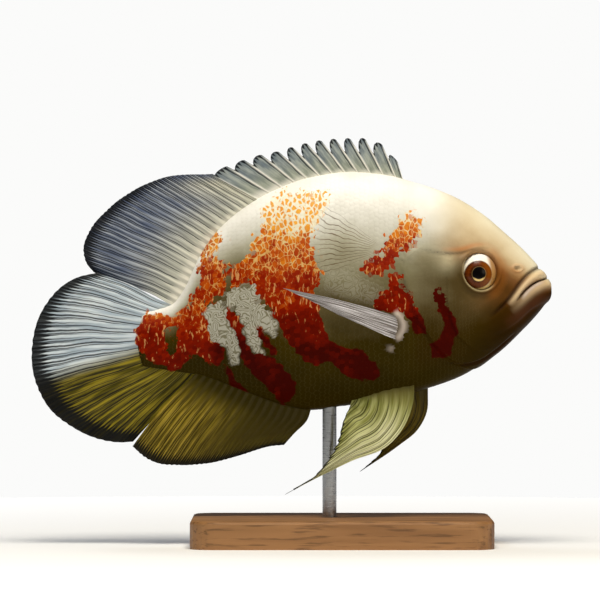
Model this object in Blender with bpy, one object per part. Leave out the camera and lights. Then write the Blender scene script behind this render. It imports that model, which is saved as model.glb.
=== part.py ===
"""Oscar fish, life size, held by a plain display stand.

The nose points along +X and the back along +Z. The right flank faces -Y. Lengths
below are in millimetres, and MM turns them into metres. The origin is under the
middle of the whole model, on the surface that the stand rests on.
"""
import math

import bmesh
import bpy
import numpy as np

MM = 0.001
GAP = 0.3

# Body: how far it reaches, and how finely it is divided.
SNOUT_X = 130.0
SNOUT_Z = 129.0
TAIL_X = -74.0
TAIL_BULGE = 4.0
RINGS = 38
POINTS_AROUND = 36
RING_CROWDING = 1.35
FLANK_FULLNESS = 0.9

# Outlines of the flesh. Each pair is a place along the fish and the value there.
BACK_LINE = (
    (130, 129), (128.8, 133), (124.7, 138.5), (109, 154.5), (94, 167), (79, 175.6),
    (62, 181.5), (45, 185.6), (29, 186.8), (9, 184), (-11, 176.5), (-27, 166.6),
    (-38, 156.5), (-46, 145), (-54, 128), (-60, 120.5), (-74, 116.5),
)
BELLY_LINE = (
    (130, 129), (129.2, 123), (126.5, 119.3), (117, 108.5), (102, 94.5), (87, 85),
    (68, 78), (42, 71.5), (24, 69), (10, 67.2), (-3, 69.2), (-16, 73.5), (-30, 79),
    (-46, 84.6), (-58, 86.5), (-74, 89),
)
HALF_WIDTH = (
    (130, 0), (128.5, 5.6), (125, 9.4), (119, 13), (110, 16.3), (98, 19.2),
    (82, 22.3), (62, 24), (40, 24), (10, 22.3), (-15, 18.3), (-40, 11.5),
    (-58, 6.8), (-74, 2.4),
)
WIDEST_HEIGHT = (
    (130, 129), (119, 124), (100, 120), (70, 124), (40, 128), (0, 125),
    (-40, 112), (-74, 102.5),
)

# Seams where the flesh is divided, as outlines in the side view (x, z).
HEAD_REAR = ((61, 200), (60, 149), (55.8, 141), (58, 127), (64, 112), (72, 100), (77, 60))
STALK_FRONT = ((-38, 200), (-47, 120), (-47, 60))
MOUTH_LINE = ((140, 135), (129, 133), (122, 131.5), (117.5, 128.5), (114, 125), (105.8, 119.2), (100.2, 116))
JAW_REAR = ((94, 102.5), (88, 60), (140, 60))
GILL_FRONT = ((82, 97), (77, 112), (73.5, 128), (73, 148))
GILL_INNER_FACE = 17.0
ROOM_BEHIND = 3.0
BEYOND = 60.0

# Eyes: flattened balls, tilted with the cheek that they sit in.
EYE_CENTRE = (93.2, 15.6, 136.3)
EYE_RADII = (8.7, 6.3, 9.4)
EYE_TURN = math.radians(14)
EYE_TILT = math.radians(12)

# Dorsal fin: the spines of its front part.
SPINES = 13
FIRST_SPINE_FOOT = 56.5
SECOND_SPINE_FOOT = 53.3
SPINE_SPACING = 6.2
SPINE_LENGTH = 20.7
SPINE_LENGTHS_IN_FRONT = (9.0, 18.3)
SPINE_GROWTH_FROM = 8
SPINE_GROWTH = 1.9
FIRST_LEAN = math.radians(22)
LEAN_RANGE = math.radians(45)
LOBE_SHAPE = ((0.0, 1.0), (0.4, 0.99), (0.8, 0.84), (0.97, 0.7))
ROOT_DEPTH = 3.0

# Display stand.
BASE_CENTRE_X = 25.0
BASE_LENGTH = 150.0
BASE_WIDTH = 100.0
BASE_THICKNESS = 14.0
BASE_CORNER = 12.0
BASE_EDGE = 1.5
ROD_X = 19.0
ROD_DIAMETER = 7.0
ROD_TOP = 86.0
ROD_SINK = 9.0
ROD_SIDES = 24


def clear_scene():
    """Empty the file that the script runs in."""
    for thing in list(bpy.data.objects):
        bpy.data.objects.remove(thing, do_unlink=True)


def collection(name):
    """A new collection of the scene."""
    made = bpy.data.collections.new(name)
    bpy.context.scene.collection.children.link(made)
    return made


def material(name, colour, roughness, metallic=0.0):
    """A plain finish: linear colour, roughness and metallic value."""
    made = bpy.data.materials.new(name)
    made.use_nodes = True
    shader = made.node_tree.nodes["Principled BSDF"]
    shader.inputs["Base Color"].default_value = (*colour, 1.0)
    shader.inputs["Roughness"].default_value = roughness
    shader.inputs["Metallic"].default_value = metallic
    return made


def cubic(knots, values, slopes, at):
    """Cubic pieces through the values, with the slopes given at the knots."""
    at = np.clip(at, knots[0], knots[-1])
    piece = np.clip(np.searchsorted(knots, at, side="right") - 1, 0, len(knots) - 2)
    step = knots[piece + 1] - knots[piece]
    t = (at - knots[piece]) / step
    rise = values[piece + 1] - values[piece]
    if values.ndim > 1:
        t, step = t[..., None], step[..., None]
    start = t * (1 - t) ** 2 * step * slopes[piece]
    end = t * t * (t - 1) * step * slopes[piece + 1]
    return values[piece] + t * t * (3 - 2 * t) * rise + start + end


def outline_value(pairs, x):
    """Value at x of an outline that never overshoots its points.

    It is smooth in the square root of the distance behind the snout, so the
    outlines close round the nose as an ellipse does.
    """
    places = np.array([p[0] for p in pairs], float)
    values = np.array([p[1] for p in pairs], float)
    knots = np.sqrt(np.maximum(SNOUT_X - places, 0))
    rises = np.diff(values) / np.diff(knots)
    slopes = np.concatenate((rises[:1], np.zeros(len(rises) - 1), rises[-1:]))
    same_way = rises[:-1] * rises[1:] > 0
    sums = np.where(same_way, rises[:-1] + rises[1:], 1.0)
    slopes[1:-1] = np.where(same_way, 2 * rises[:-1] * rises[1:] / sums, 0.0)
    return cubic(knots, values, slopes, np.sqrt(np.maximum(SNOUT_X - x, 0)))


def curve_through(points, t):
    """Point at t, from 0 to 1, on a smooth curve through the points."""
    points = np.array(points, float)
    steps = np.linalg.norm(np.diff(points, axis=0), axis=1)
    knots = np.concatenate(([0.0], np.cumsum(steps)))
    knots /= knots[-1]
    slopes = np.gradient(points, knots, axis=0)
    return cubic(knots, points, slopes, np.asarray(t, float))


def body_section(x, grow):
    """Back, belly, half width and widest height of the flesh at x."""
    top = outline_value(BACK_LINE, x) + grow
    bottom = outline_value(BELLY_LINE, x) - grow
    return top, bottom, outline_value(HALF_WIDTH, x) + grow, outline_value(WIDEST_HEIGHT, x)


def body_point(along, around, grow):
    """A point of the flesh: along from snout to tail, around from the left flank up."""
    if along * RINGS > RINGS - 0.5:
        return (TAIL_X - TAIL_BULGE - grow, 0.0, outline_value(WIDEST_HEIGHT, TAIL_X))
    run = along * RINGS / (RINGS - 1)
    if run < 0.5 / RINGS:
        return (SNOUT_X + grow, 0.0, SNOUT_Z)
    x = SNOUT_X - (SNOUT_X - TAIL_X) * run ** RING_CROWDING
    top, bottom, half_width, middle = body_section(x, grow)
    side, height = math.cos(around), math.sin(around)
    y = half_width * math.copysign(abs(side) ** FLANK_FULLNESS, side)
    z = middle + (top - middle if height > 0 else middle - bottom) * height
    return (x - grow * run, y, z)


def object_from(mesh, name, where, finish=None):
    """Turn a bmesh into an object of a collection."""
    mesh.normal_update()
    bmesh.ops.recalc_face_normals(mesh, faces=mesh.faces)
    data = bpy.data.meshes.new(name)
    mesh.to_mesh(data)
    mesh.free()
    made = bpy.data.objects.new(name, data)
    where.objects.link(made)
    if finish:
        data.materials.append(finish)
        data.shade_smooth()
        data.set_sharp_from_angle(angle=math.radians(35))
    else:
        made.hide_render = True
        made.display_type = "WIRE"
    return made


def flesh(name, where, finish=None, grow=0.0):
    """The whole body without fins, from a ball whose poles are snout and tail."""
    mesh = bmesh.new()
    bmesh.ops.create_uvsphere(mesh, u_segments=POINTS_AROUND, v_segments=RINGS, radius=1.0)
    for vert in mesh.verts:
        along = math.acos(max(-1.0, min(1.0, vert.co.z))) / math.pi
        around = math.atan2(vert.co.y, vert.co.x)
        vert.co = [value * MM for value in body_point(along, around, grow)]
    return object_from(mesh, name, where, finish)


def prism(name, where, outline, low_y, high_y):
    """A block over an outline of the side view, for cutting."""
    mesh = bmesh.new()
    corners = [mesh.verts.new((x * MM, low_y * MM, z * MM)) for x, z in outline]
    face = mesh.faces.new(corners)
    pushed = bmesh.ops.extrude_face_region(mesh, geom=[face])
    far_side = [item for item in pushed["geom"] if isinstance(item, bmesh.types.BMVert)]
    bmesh.ops.translate(mesh, vec=(0, (high_y - low_y) * MM, 0), verts=far_side)
    return object_from(mesh, name, where)


def cut(target, cutter, operation="DIFFERENCE"):
    """Cut a piece by a block, or keep what lies in the block."""
    modifier = target.modifiers.new(cutter.name, "BOOLEAN")
    modifier.object = cutter
    modifier.operation = operation
    modifier.solver = "EXACT"


def eyeball(name, where, side, finish=None, grow=0.0):
    """One flattened eyeball, its axis out through the cheek and a little forward and up."""
    mesh = bmesh.new()
    bmesh.ops.create_uvsphere(mesh, u_segments=20, v_segments=10, radius=1.0)
    for vert in mesh.verts:
        x, y, z = (part * (radius + grow) for part, radius in zip(vert.co, EYE_RADII))
        y, z = (y * math.cos(EYE_TILT) - z * math.sin(EYE_TILT),
                y * math.sin(EYE_TILT) + z * math.cos(EYE_TILT))
        x, y = (x * math.cos(EYE_TURN) + y * math.sin(EYE_TURN),
                y * math.cos(EYE_TURN) - x * math.sin(EYE_TURN))
        centre_x, centre_y, centre_z = EYE_CENTRE
        vert.co = ((centre_x + x) * MM, side * (centre_y + y) * MM, (centre_z + z) * MM)
    return object_from(mesh, name, where, finish)


def patch_point(curves, u, v):
    """Point of the surface that fills four border curves: root, edge, front and rear."""
    root, edge, front, rear = curves
    across = (1 - v) * root(u) + v * edge(u) + (1 - u) * front(v) + u * rear(v)
    corners = (1 - v) * ((1 - u) * root(0) + u * root(1)) + v * ((1 - u) * edge(0) + u * edge(1))
    return across - corners


def fin(name, where, finish, curves, columns, rows, root_thickness, edge_thickness):
    """A thin plate over a fin's outline, thickest at its root."""
    mesh = bmesh.new()
    bmesh.ops.create_grid(mesh, x_segments=columns, y_segments=rows, size=1.0)
    bmesh.ops.solidify(mesh, geom=mesh.faces[:], thickness=0.2)
    middle = sum(vert.co.z for vert in mesh.verts) / len(mesh.verts)
    small = 0.01
    for vert in mesh.verts:
        u = min(1.0, max(0.0, round((vert.co.x + 1) / 2 * columns) / columns))
        v = min(1.0, max(0.0, round((vert.co.y + 1) / 2 * rows) / rows))
        here = patch_point(curves, u, v)
        u_side = patch_point(curves, min(1, u + small), v) - patch_point(curves, max(0, u - small), v)
        v_side = patch_point(curves, u, min(1, v + small)) - patch_point(curves, u, max(0, v - small))
        normal = np.cross(u_side, v_side)
        normal /= np.linalg.norm(normal)
        thickness = root_thickness + (edge_thickness - root_thickness) * math.sqrt(v)
        half = math.copysign(thickness / 2, vert.co.z - middle)
        vert.co = [float(value) * MM for value in here + normal * half]
    return object_from(mesh, name, where, finish)


def border(*points):
    """One border of a fin as a function from 0 to 1."""
    return lambda t: curve_through(points, t)


def mirrored(curves):
    """The same fin on the other flank."""
    flip = np.array((1.0, -1.0, 1.0))
    return [lambda t, run=run: run(t) * flip for run in curves]


def spine_foot(i):
    """Where spine i stands, a little under the skin of the back."""
    x = FIRST_SPINE_FOOT if i < 1 else SECOND_SPINE_FOOT - SPINE_SPACING * (i - 1)
    return np.array((x, 0.0, outline_value(BACK_LINE, x) - ROOT_DEPTH))


def spine_tip(i):
    """The tip of spine i: the spines lie lower towards the tail and grow longer there."""
    lean = FIRST_LEAN + LEAN_RANGE * (i / (SPINES - 1)) ** 0.95
    length = SPINE_LENGTH + SPINE_GROWTH * max(0.0, i - SPINE_GROWTH_FROM)
    if i < len(SPINE_LENGTHS_IN_FRONT):
        length = SPINE_LENGTHS_IN_FRONT[int(i)]
    foot = spine_foot(i)
    foot[2] += ROOT_DEPTH
    return foot + length * np.array((-math.sin(lean), 0.0, math.cos(lean)))


def lobe_edge(u):
    """Outer edge of the spiny part: a lobe of skin behind each spine."""
    place = u * (SPINES - 1)
    spine = min(int(place + 1e-6), SPINES - 2)
    between = place - spine
    reach = float(np.interp(between, [p[0] for p in LOBE_SHAPE] + [1.0], [p[1] for p in LOBE_SHAPE] + [1.0]))
    foot = spine_foot(spine) * (1 - between) + spine_foot(spine + 1) * between
    tip = spine_tip(spine) * (1 - between) + spine_tip(spine + 1) * between
    return foot + (tip - foot) * reach


def spiny_dorsal_curves():
    last = SPINES - 1
    return (
        lambda u: spine_foot(u * last) if u * last >= 1 else
        spine_foot(0) * (1 - u * last) + spine_foot(1) * u * last,
        lobe_edge,
        lambda v: spine_foot(0) * (1 - v) + spine_tip(0) * v,
        lambda v: spine_foot(last) * (1 - v) + spine_tip(last) * v,
    )


def soft_dorsal_curves():
    foot = spine_foot(SPINES - 1) + np.array((-1.2, 0, -1.0))
    tip = spine_tip(SPINES - 1) + np.array((-1.2, 0, 0.6))
    return (
        border(foot, (-28, 0, 163), (-38, 0, 153), (-46, 0, 141.5), (-53, 0, 127.5), (-58, 0, 118.5)),
        border(tip, (-63, 0.5, 184), (-78, 1.5, 178), (-93, 3, 167), (-101, 4, 157.5),
               (-104.3, 5, 147.5), (-102.7, 5.5, 141), (-99.2, 6, 136.5)),
        border(foot, tip),
        border((-58, 0, 118.5), (-70, 2.2, 125.5), (-85, 4.5, 131), (-99.2, 6, 136.5)),
    )


def tail_curves():
    return (
        border((-62, 0, 120.2), (-69, 0, 112), (-72, 0, 102), (-66, 0.8, 93), (-46.5, 2.2, 87.3)),
        border((-98.2, -1, 133.4), (-108.2, -1, 133.4), (-117, -1, 127.5), (-124, -1, 118.5),
               (-128.6, -0.5, 107), (-130, 0, 94), (-127.4, 0.5, 79.5), (-120, 1, 67), (-108.2, 1.5, 58),
               (-94, 2, 52.2), (-86, 2.4, 51.2), (-79.3, 2.6, 51.6)),
        border((-62, 0, 120.2), (-80, -0.7, 128), (-98.2, -1, 133.4)),
        border((-46.5, 2.2, 87.3), (-52.5, 2.8, 80.3), (-59.2, 3.2, 73.5), (-70.4, 3, 61.5), (-79.3, 2.6, 51.6)),
    )


def anal_curves():
    return (
        border((10, 0, 69), (-5, 0, 71), (-20, 0, 76.5), (-35, 0, 83), (-46.5, -0.6, 87.5)),
        border((-3.8, 0, 50), (-10.8, 0, 49.3), (-25.8, -0.5, 44.8), (-40.8, -1.5, 41), (-55.8, -3, 40),
               (-65, -4, 40.6), (-72.5, -5, 43.5), (-79.3, -5.6, 49.5)),
        border((10, 0, 69), (8, 0, 62.8), (1.2, 0, 55.6), (-3.8, 0, 50)),
        border((-46.5, -0.6, 87.5), (-53, -2, 80.3), (-59.8, -3, 73.5), (-70.8, -4.6, 61), (-79.3, -5.6, 49.5)),
    )


def pelvic_right_curves():
    return (
        border((61, -9, 82.5), (46, -9.5, 79), (31, -6.5, 75)),
        border((-3.2, -19, 26), (11.8, -18.5, 35.5), (19.2, -16.5, 45), (22.8, -14.5, 52),
               (26.2, -11, 63), (29.5, -7.5, 69.5)),
        border((61, -9, 82.5), (61, -10.5, 74.5), (56.8, -13, 61), (47.8, -15.5, 50), (29.8, -17, 42.5),
               (17.2, -18, 36.5), (-3.2, -19, 26)),
        border((31, -6.5, 75), (29.5, -7.5, 69.5)),
    )


def pelvic_left_curves():
    return (
        border((68.4, 9, 83), (54, 9.5, 81), (39, 6.5, 76.5)),
        border((34.5, 21, 36), (45.5, 18.5, 47), (46, 15, 57), (41, 10, 66), (38, 7.5, 71.5)),
        border((68.4, 9, 83), (68.5, 10.5, 76), (68.2, 13, 67), (63.2, 16, 57), (54, 18.5, 49.3),
               (34.5, 21, 36)),
        border((39, 6.5, 76.5), (38, 7.5, 71.5)),
    )


def pectoral_right_curves():
    return (
        border((56.5, -20.5, 112.8), (55, -20.2, 107.5), (53.5, -19.7, 102.6)),
        border((-4.2, -27.5, 128.4), (6, -27, 123.8), (16, -26.5, 119), (24, -26, 115)),
        border((56.5, -20.5, 112.8), (50, -25, 115), (26.8, -27, 121.6), (-4.2, -27.5, 128.4)),
        border((53.5, -19.7, 102.6), (48, -24.3, 104.4), (36, -25.8, 109.8), (24, -26, 115)),
    )


def stand_base(where, finish, cutters):
    """A flat board with rounded corners and eased edges, with a socket for the rod."""
    mesh = bmesh.new()
    bmesh.ops.create_cube(mesh, size=1.0)
    bmesh.ops.scale(mesh, vec=(BASE_LENGTH * MM, BASE_WIDTH * MM, BASE_THICKNESS * MM), verts=mesh.verts)
    bmesh.ops.translate(mesh, vec=(BASE_CENTRE_X * MM, 0, BASE_THICKNESS / 2 * MM), verts=mesh.verts)
    upright = [edge for edge in mesh.edges if abs(edge.verts[0].co.z - edge.verts[1].co.z) > MM]
    bmesh.ops.bevel(mesh, geom=upright, offset=BASE_CORNER * MM, segments=6, profile=0.5, affect="EDGES")
    level = [edge for edge in mesh.edges
             if min(v.co.z for v in edge.verts) > (BASE_THICKNESS - 0.1) * MM]
    bmesh.ops.bevel(mesh, geom=level, offset=BASE_EDGE * MM, segments=2, profile=0.5, affect="EDGES")
    base = object_from(mesh, "stand_base", where, finish)
    low = BASE_THICKNESS - ROD_SINK - GAP
    cut(base, rod("base_socket", cutters, low, BASE_THICKNESS + 5, ROD_DIAMETER + 2 * GAP))
    return base


def rod(name, where, low, high, diameter, finish=None):
    """A round upright rod."""
    mesh = bmesh.new()
    bmesh.ops.create_cone(mesh, cap_ends=True, segments=ROD_SIDES, radius1=diameter / 2 * MM,
                          radius2=diameter / 2 * MM, depth=(high - low) * MM)
    bmesh.ops.translate(mesh, vec=(ROD_X * MM, 0, (low + high) / 2 * MM), verts=mesh.verts)
    return object_from(mesh, name, where, finish)


def moved(outline, by_x, by_z=0.0):
    """An outline of the side view, moved."""
    return tuple((x + by_x, z + by_z) for x, z in outline)


def widened(outline, amount):
    """An outline of the side view, grown away from its middle."""
    middle_x, middle_z = np.mean(outline, axis=0)
    return [(x + math.copysign(amount, x - middle_x), z + math.copysign(amount, z - middle_z))
            for x, z in outline]


def build_flesh(parts, cutters):
    """The body, parted by thin cuts into head, jaw, gill covers, trunk and tail stalk."""
    half = GAP / 2
    reach = (-BEYOND, BEYOND)
    head_rear = moved(HEAD_REAR, half)
    head_block = prism("head_block", cutters, head_rear + ((140, 60), (140, 200)), *reach)
    trunk_outline = moved(HEAD_REAR[::-1], -half) + moved(STALK_FRONT, half)
    trunk_block = prism("trunk_block", cutters, trunk_outline, *reach)
    stalk_outline = ((-90, 200), (-90, 60)) + moved(STALK_FRONT[::-1], -half)
    stalk_block = prism("stalk_block", cutters, stalk_outline, *reach)
    jaw_outline = MOUTH_LINE + JAW_REAR
    jaw_block = prism("jaw_block", cutters, moved(jaw_outline, half), *reach)
    jaw_room = prism("jaw_room", cutters, moved(jaw_outline, -half, GAP), *reach)

    pale = material("pale_skin", (0.76, 0.66, 0.45), 0.45)
    cheek = material("olive_skin", (0.40, 0.37, 0.24), 0.45)
    orange = material("orange_skin", (0.72, 0.22, 0.08), 0.45)

    head = flesh("head", parts, pale)
    cut(head, head_block, "INTERSECT")
    cut(head, jaw_room)
    jaw = flesh("lower_jaw", parts, cheek)
    cut(jaw, jaw_block, "INTERSECT")
    trunk = flesh("trunk", parts, pale)
    cut(trunk, trunk_block, "INTERSECT")
    stalk = flesh("tail_stalk", parts, orange)
    cut(stalk, stalk_block, "INTERSECT")

    gill_outline = moved(HEAD_REAR[1:-1], half) + GILL_FRONT
    gill_room = widened(moved(HEAD_REAR[1:-1], -ROOM_BEHIND) + GILL_FRONT, GAP)
    for side, word in ((-1, "right"), (1, "left")):
        near, far = sorted((side * (GILL_INNER_FACE + half), side * BEYOND))
        plate = prism(f"gill_block_{word}", cutters, gill_outline, near, far)
        cover = flesh(f"gill_cover_{word}", parts, cheek)
        cut(cover, plate, "INTERSECT")
        near, far = sorted((side * (GILL_INNER_FACE - half), side * BEYOND))
        cut(head, prism(f"gill_room_{word}", cutters, gill_room, near, far))
        ball = material(f"iris_{word}", (0.45, 0.17, 0.03), 0.15)
        eyeball(f"eye_{word}", parts, side, ball)
        cut(head, eyeball(f"eye_room_{word}", cutters, side, grow=GAP))
    cut(trunk, rod("trunk_socket", cutters, 40, ROD_TOP + GAP, ROD_DIAMETER + 2 * GAP))


def build_fins(parts, cutters):
    """Each fin, trimmed where it meets the flesh."""
    grown = flesh("flesh_room", cutters, grow=GAP)
    blue = material("blue_grey_fin", (0.20, 0.24, 0.30), 0.4)
    olive = material("olive_fin", (0.30, 0.28, 0.12), 0.4)
    yellow = material("yellow_fin", (0.52, 0.52, 0.20), 0.4)
    clear = material("clear_fin", (0.62, 0.58, 0.62), 0.3)
    made = [
        fin("dorsal_fin_spiny", parts, blue, spiny_dorsal_curves(), 48, 2, 2.2, 0.9),
        fin("dorsal_fin_soft", parts, blue, soft_dorsal_curves(), 16, 5, 3.2, 0.9),
        fin("tail_fin", parts, olive, tail_curves(), 26, 6, 2.6, 0.9),
        fin("anal_fin", parts, olive, anal_curves(), 16, 5, 3.2, 0.9),
        fin("pelvic_fin_right", parts, yellow, pelvic_right_curves(), 9, 8, 2.0, 0.8),
        fin("pelvic_fin_left", parts, yellow, pelvic_left_curves(), 9, 8, 2.0, 0.8),
        fin("pectoral_fin_right", parts, clear, pectoral_right_curves(), 5, 7, 1.6, 0.8),
        fin("pectoral_fin_left", parts, clear, mirrored(pectoral_right_curves()), 5, 7, 1.6, 0.8),
    ]
    for plate in made:
        cut(plate, grown)


def main():
    clear_scene()
    parts = collection("oscar_fish")
    cutters = collection("cutters")
    build_flesh(parts, cutters)
    build_fins(parts, cutters)
    wood = material("oak", (0.45, 0.31, 0.17), 0.5)
    steel = material("brushed_steel", (0.55, 0.55, 0.56), 0.3, 1.0)
    stand_base(parts, wood, cutters)
    rod("stand_rod", parts, BASE_THICKNESS - ROD_SINK, ROD_TOP, ROD_DIAMETER, steel)


main()
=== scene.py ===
# %% [markdown]
# An oscar, life size, as a still display model held by a steel rod on a wooden base.
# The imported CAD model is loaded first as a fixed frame. Each finished piece is then
# built in that frame, in the same place as the plain solid that it stands for.

# %% Load the frame
import math

import bmesh
import bpy
import numpy as np
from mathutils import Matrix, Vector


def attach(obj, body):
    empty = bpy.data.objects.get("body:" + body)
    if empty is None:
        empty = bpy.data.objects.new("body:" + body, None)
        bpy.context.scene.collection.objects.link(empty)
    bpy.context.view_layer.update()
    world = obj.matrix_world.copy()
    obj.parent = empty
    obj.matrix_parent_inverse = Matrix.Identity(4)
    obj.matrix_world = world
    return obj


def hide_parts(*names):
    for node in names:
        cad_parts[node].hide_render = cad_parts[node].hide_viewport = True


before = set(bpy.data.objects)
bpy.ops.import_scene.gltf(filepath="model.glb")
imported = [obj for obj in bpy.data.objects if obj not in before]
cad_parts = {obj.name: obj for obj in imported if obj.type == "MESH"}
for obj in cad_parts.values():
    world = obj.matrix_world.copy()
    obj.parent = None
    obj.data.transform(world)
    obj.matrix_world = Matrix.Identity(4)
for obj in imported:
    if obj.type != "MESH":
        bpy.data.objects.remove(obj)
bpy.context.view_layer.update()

MM = 0.001

# %% [markdown]
# Every material below is a small tree of nodes. One helper adds a node, sets it and
# fills its sockets, and one turns a hex colour, as a painter reads it, to linear light.

# %% Colour and node helpers
def linear(hex_colour):
    """Linear RGBA of an sRGB hex colour such as "#C1440E"."""
    parts = [int(hex_colour[i:i + 2], 16) / 255 for i in (1, 3, 5)]
    return tuple(p / 12.92 if p <= 0.04045 else ((p + 0.055) / 1.055) ** 2.4 for p in parts) + (1.0,)


MATH, MIX, RANGE, RAMP = "ShaderNodeMath", "ShaderNodeMix", "ShaderNodeMapRange", "ShaderNodeValToRGB"
NOISE, CELLS, STORED = "ShaderNodeTexNoise", "ShaderNodeTexVoronoi", "ShaderNodeAttribute"
SPLIT, JOIN, PLACE, BUMP = ("ShaderNodeSeparateXYZ", "ShaderNodeCombineXYZ", "ShaderNodeTexCoord",
                            "ShaderNodeBump")
STRETCH = "ShaderNodeMapping"
VECTORS = "ShaderNodeVectorMath"
SOFT = {"interpolation_type": "SMOOTHSTEP"}
TIMES, TIMES_PLUS, MINUS = ({"operation": name} for name in ("MULTIPLY", "MULTIPLY_ADD", "SUBTRACT"))
COLOUR = {"data_type": "RGBA", "out": 2}


def fill(tree, holder, inputs):
    """Fills a node's sockets: a socket is linked, a hex colour is turned to linear light."""
    for key, value in inputs.items():
        if isinstance(value, bpy.types.NodeSocket):
            tree.links.new(value, holder.inputs[key])
        else:
            holder.inputs[key].default_value = linear(value) if isinstance(value, str) else value


def node(tree, kind, inputs=None, out=0, stops=None, **settings):
    """Adds one node with its settings, values and links. Gives one output, or all for out=None."""
    new = tree.nodes.new(kind)
    for name, value in settings.items():
        setattr(new, name, value)
    fill(tree, new, inputs or {})
    if stops:
        while len(new.color_ramp.elements) < len(stops):
            new.color_ramp.elements.new(0.5)
        for element, (place, colour) in zip(new.color_ramp.elements, stops):
            element.position = place
            element.color = linear(colour)
    return new.outputs if out is None else new.outputs[out]


def finish_material(name):
    """A new material with its tree and its main shader."""
    made = bpy.data.materials.new(name)
    made.use_nodes = True
    return made, made.node_tree, made.node_tree.nodes["Principled BSDF"]


print("mid grey in linear light:", round(linear("#808080")[0], 3))

# %% [markdown]
# The flesh of the fish is one closed form with a pole at the snout and one at the tail.
# Its back, belly, width and the height of its widest place are smooth outlines, the same
# that the solids were made from, so the skin lies just inside those solids. All of the
# numbers are millimetres, with the nose towards +X and the right flank towards -Y.

# %% Outlines of the flesh
SNOUT_X, SNOUT_Z = 130.0, 129.0
TAIL_X, TAIL_BULGE = -74.0, 4.0
FLANK_FULLNESS = 0.9
COAT_DEPTH = 0.35
BACK_LINE = (
    (130, 129), (128.8, 133), (124.7, 138.5), (109, 154.5), (94, 167), (79, 175.6), (62, 181.5),
    (45, 185.6), (29, 186.8), (9, 184), (-11, 176.5), (-27, 166.6), (-38, 156.5), (-46, 145),
    (-54, 128), (-60, 120.5), (-74, 116.5),
)
BELLY_LINE = (
    (130, 129), (129.2, 123), (126.5, 119.3), (117, 108.5), (102, 94.5), (87, 85), (68, 78),
    (42, 71.5), (24, 69), (10, 67.2), (-3, 69.2), (-16, 73.5), (-30, 79), (-46, 84.6),
    (-58, 86.5), (-74, 89),
)
HALF_WIDTH = (
    (130, 0), (128.5, 5.6), (125, 9.4), (119, 13), (110, 16.3), (98, 19.2), (82, 22.3), (62, 24),
    (40, 24), (10, 22.3), (-15, 18.3), (-40, 11.5), (-58, 6.8), (-74, 2.4),
)
WIDEST_HEIGHT = (
    (130, 129), (119, 124), (100, 120), (70, 124), (40, 128), (0, 125), (-40, 112), (-74, 102.5),
)
print("outlines with", [len(line) for line in (BACK_LINE, BELLY_LINE, HALF_WIDTH, WIDEST_HEIGHT)], "places")

# %% [markdown]
# A few listed places have to become a smooth outline. A curve object could do it, but its
# handles are hard to read back, so cubic pieces are worked out here. Their slopes are
# chosen so that the outline never bulges between two places, and near the snout the
# distance is taken as a square root, which closes the outline round instead of pointed.

# %% Smooth curves through listed places
def cubic(knots, values, slopes, at):
    """Cubic pieces through the values, with the slopes given at the knots."""
    at = np.clip(at, knots[0], knots[-1])
    piece = np.clip(np.searchsorted(knots, at, side="right") - 1, 0, len(knots) - 2)
    step = knots[piece + 1] - knots[piece]
    t = (at - knots[piece]) / step
    rise = values[piece + 1] - values[piece]
    if values.ndim > 1:
        t, step = t[..., None], step[..., None]
    start = t * (1 - t) ** 2 * step * slopes[piece]
    end = t * t * (t - 1) * step * slopes[piece + 1]
    return values[piece] + t * t * (3 - 2 * t) * rise + start + end


def outline_value(pairs, x):
    """Value at x of an outline that never overshoots and that closes round the nose."""
    places = np.array([p[0] for p in pairs], float)
    values = np.array([p[1] for p in pairs], float)
    knots = np.sqrt(np.maximum(SNOUT_X - places, 0))
    rises = np.diff(values) / np.diff(knots)
    slopes = np.concatenate((rises[:1], np.zeros(len(rises) - 1), rises[-1:]))
    same_way = rises[:-1] * rises[1:] > 0
    total = np.where(same_way, rises[:-1] + rises[1:], 1.0)
    slopes[1:-1] = np.where(same_way, 2 * rises[:-1] * rises[1:] / total, 0.0)
    return cubic(knots, values, slopes, np.sqrt(np.maximum(SNOUT_X - x, 0)))


def curve_through(points, t):
    """Point at t, from 0 to 1, on a smooth curve through the points."""
    points = np.array(points, float)
    knots = np.concatenate(([0.0], np.cumsum(np.linalg.norm(np.diff(points, axis=0), axis=1))))
    knots /= knots[-1]
    return cubic(knots, points, np.gradient(points, knots, axis=0), np.asarray(t, float))


def smooth_step(value, low, high):
    """0 below low, 1 above high, with soft ends."""
    t = np.clip((value - low) / (high - low), 0, 1)
    return t * t * (3 - 2 * t)


def bump(distance, width):
    """A soft hill, 1 at no distance and nearly 0 at two widths."""
    return np.exp(-(distance / width) ** 2)


depth = float(outline_value(BACK_LINE, 20) - outline_value(BELLY_LINE, 20))
print("body depth at x = 20:", round(depth, 1), "mm")

# %% [markdown]
# A lattice of points covers the flesh: rings from snout to tail, close together on the
# head, where lips, nostril and eye socket need them, and wide on the body, where scales
# cover it. Each ring is stepped evenly round its own length.

# %% The lattice of the flesh
RINGS = 276
AROUND = 340
HEAD_STEP, CHEEK_STEP, BODY_STEP, TAIL_STEP = 0.42, 0.55, 1.2, 0.8


def ring_places():
    """The x of every ring from the snout to the end of the tail stalk."""
    spots = np.linspace(SNOUT_X, TAIL_X - TAIL_BULGE, 8001)
    step = np.interp(-spots, (-112, -106, -72, -62, 62, 72), (HEAD_STEP, CHEEK_STEP, CHEEK_STEP, BODY_STEP,
                                                           BODY_STEP, TAIL_STEP))
    from_tip = np.minimum(SNOUT_X - spots, 2 * (spots - TAIL_X + TAIL_BULGE))
    step = step * np.sqrt(np.clip(from_tip / 8 + 1e-4, 0, 1))
    count = np.concatenate(([0.0], np.cumsum(np.abs(np.diff(spots)) / (step[1:] + step[:-1]) * 2)))
    return np.interp(np.linspace(0, count[-1], RINGS + 1), count, spots)


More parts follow.
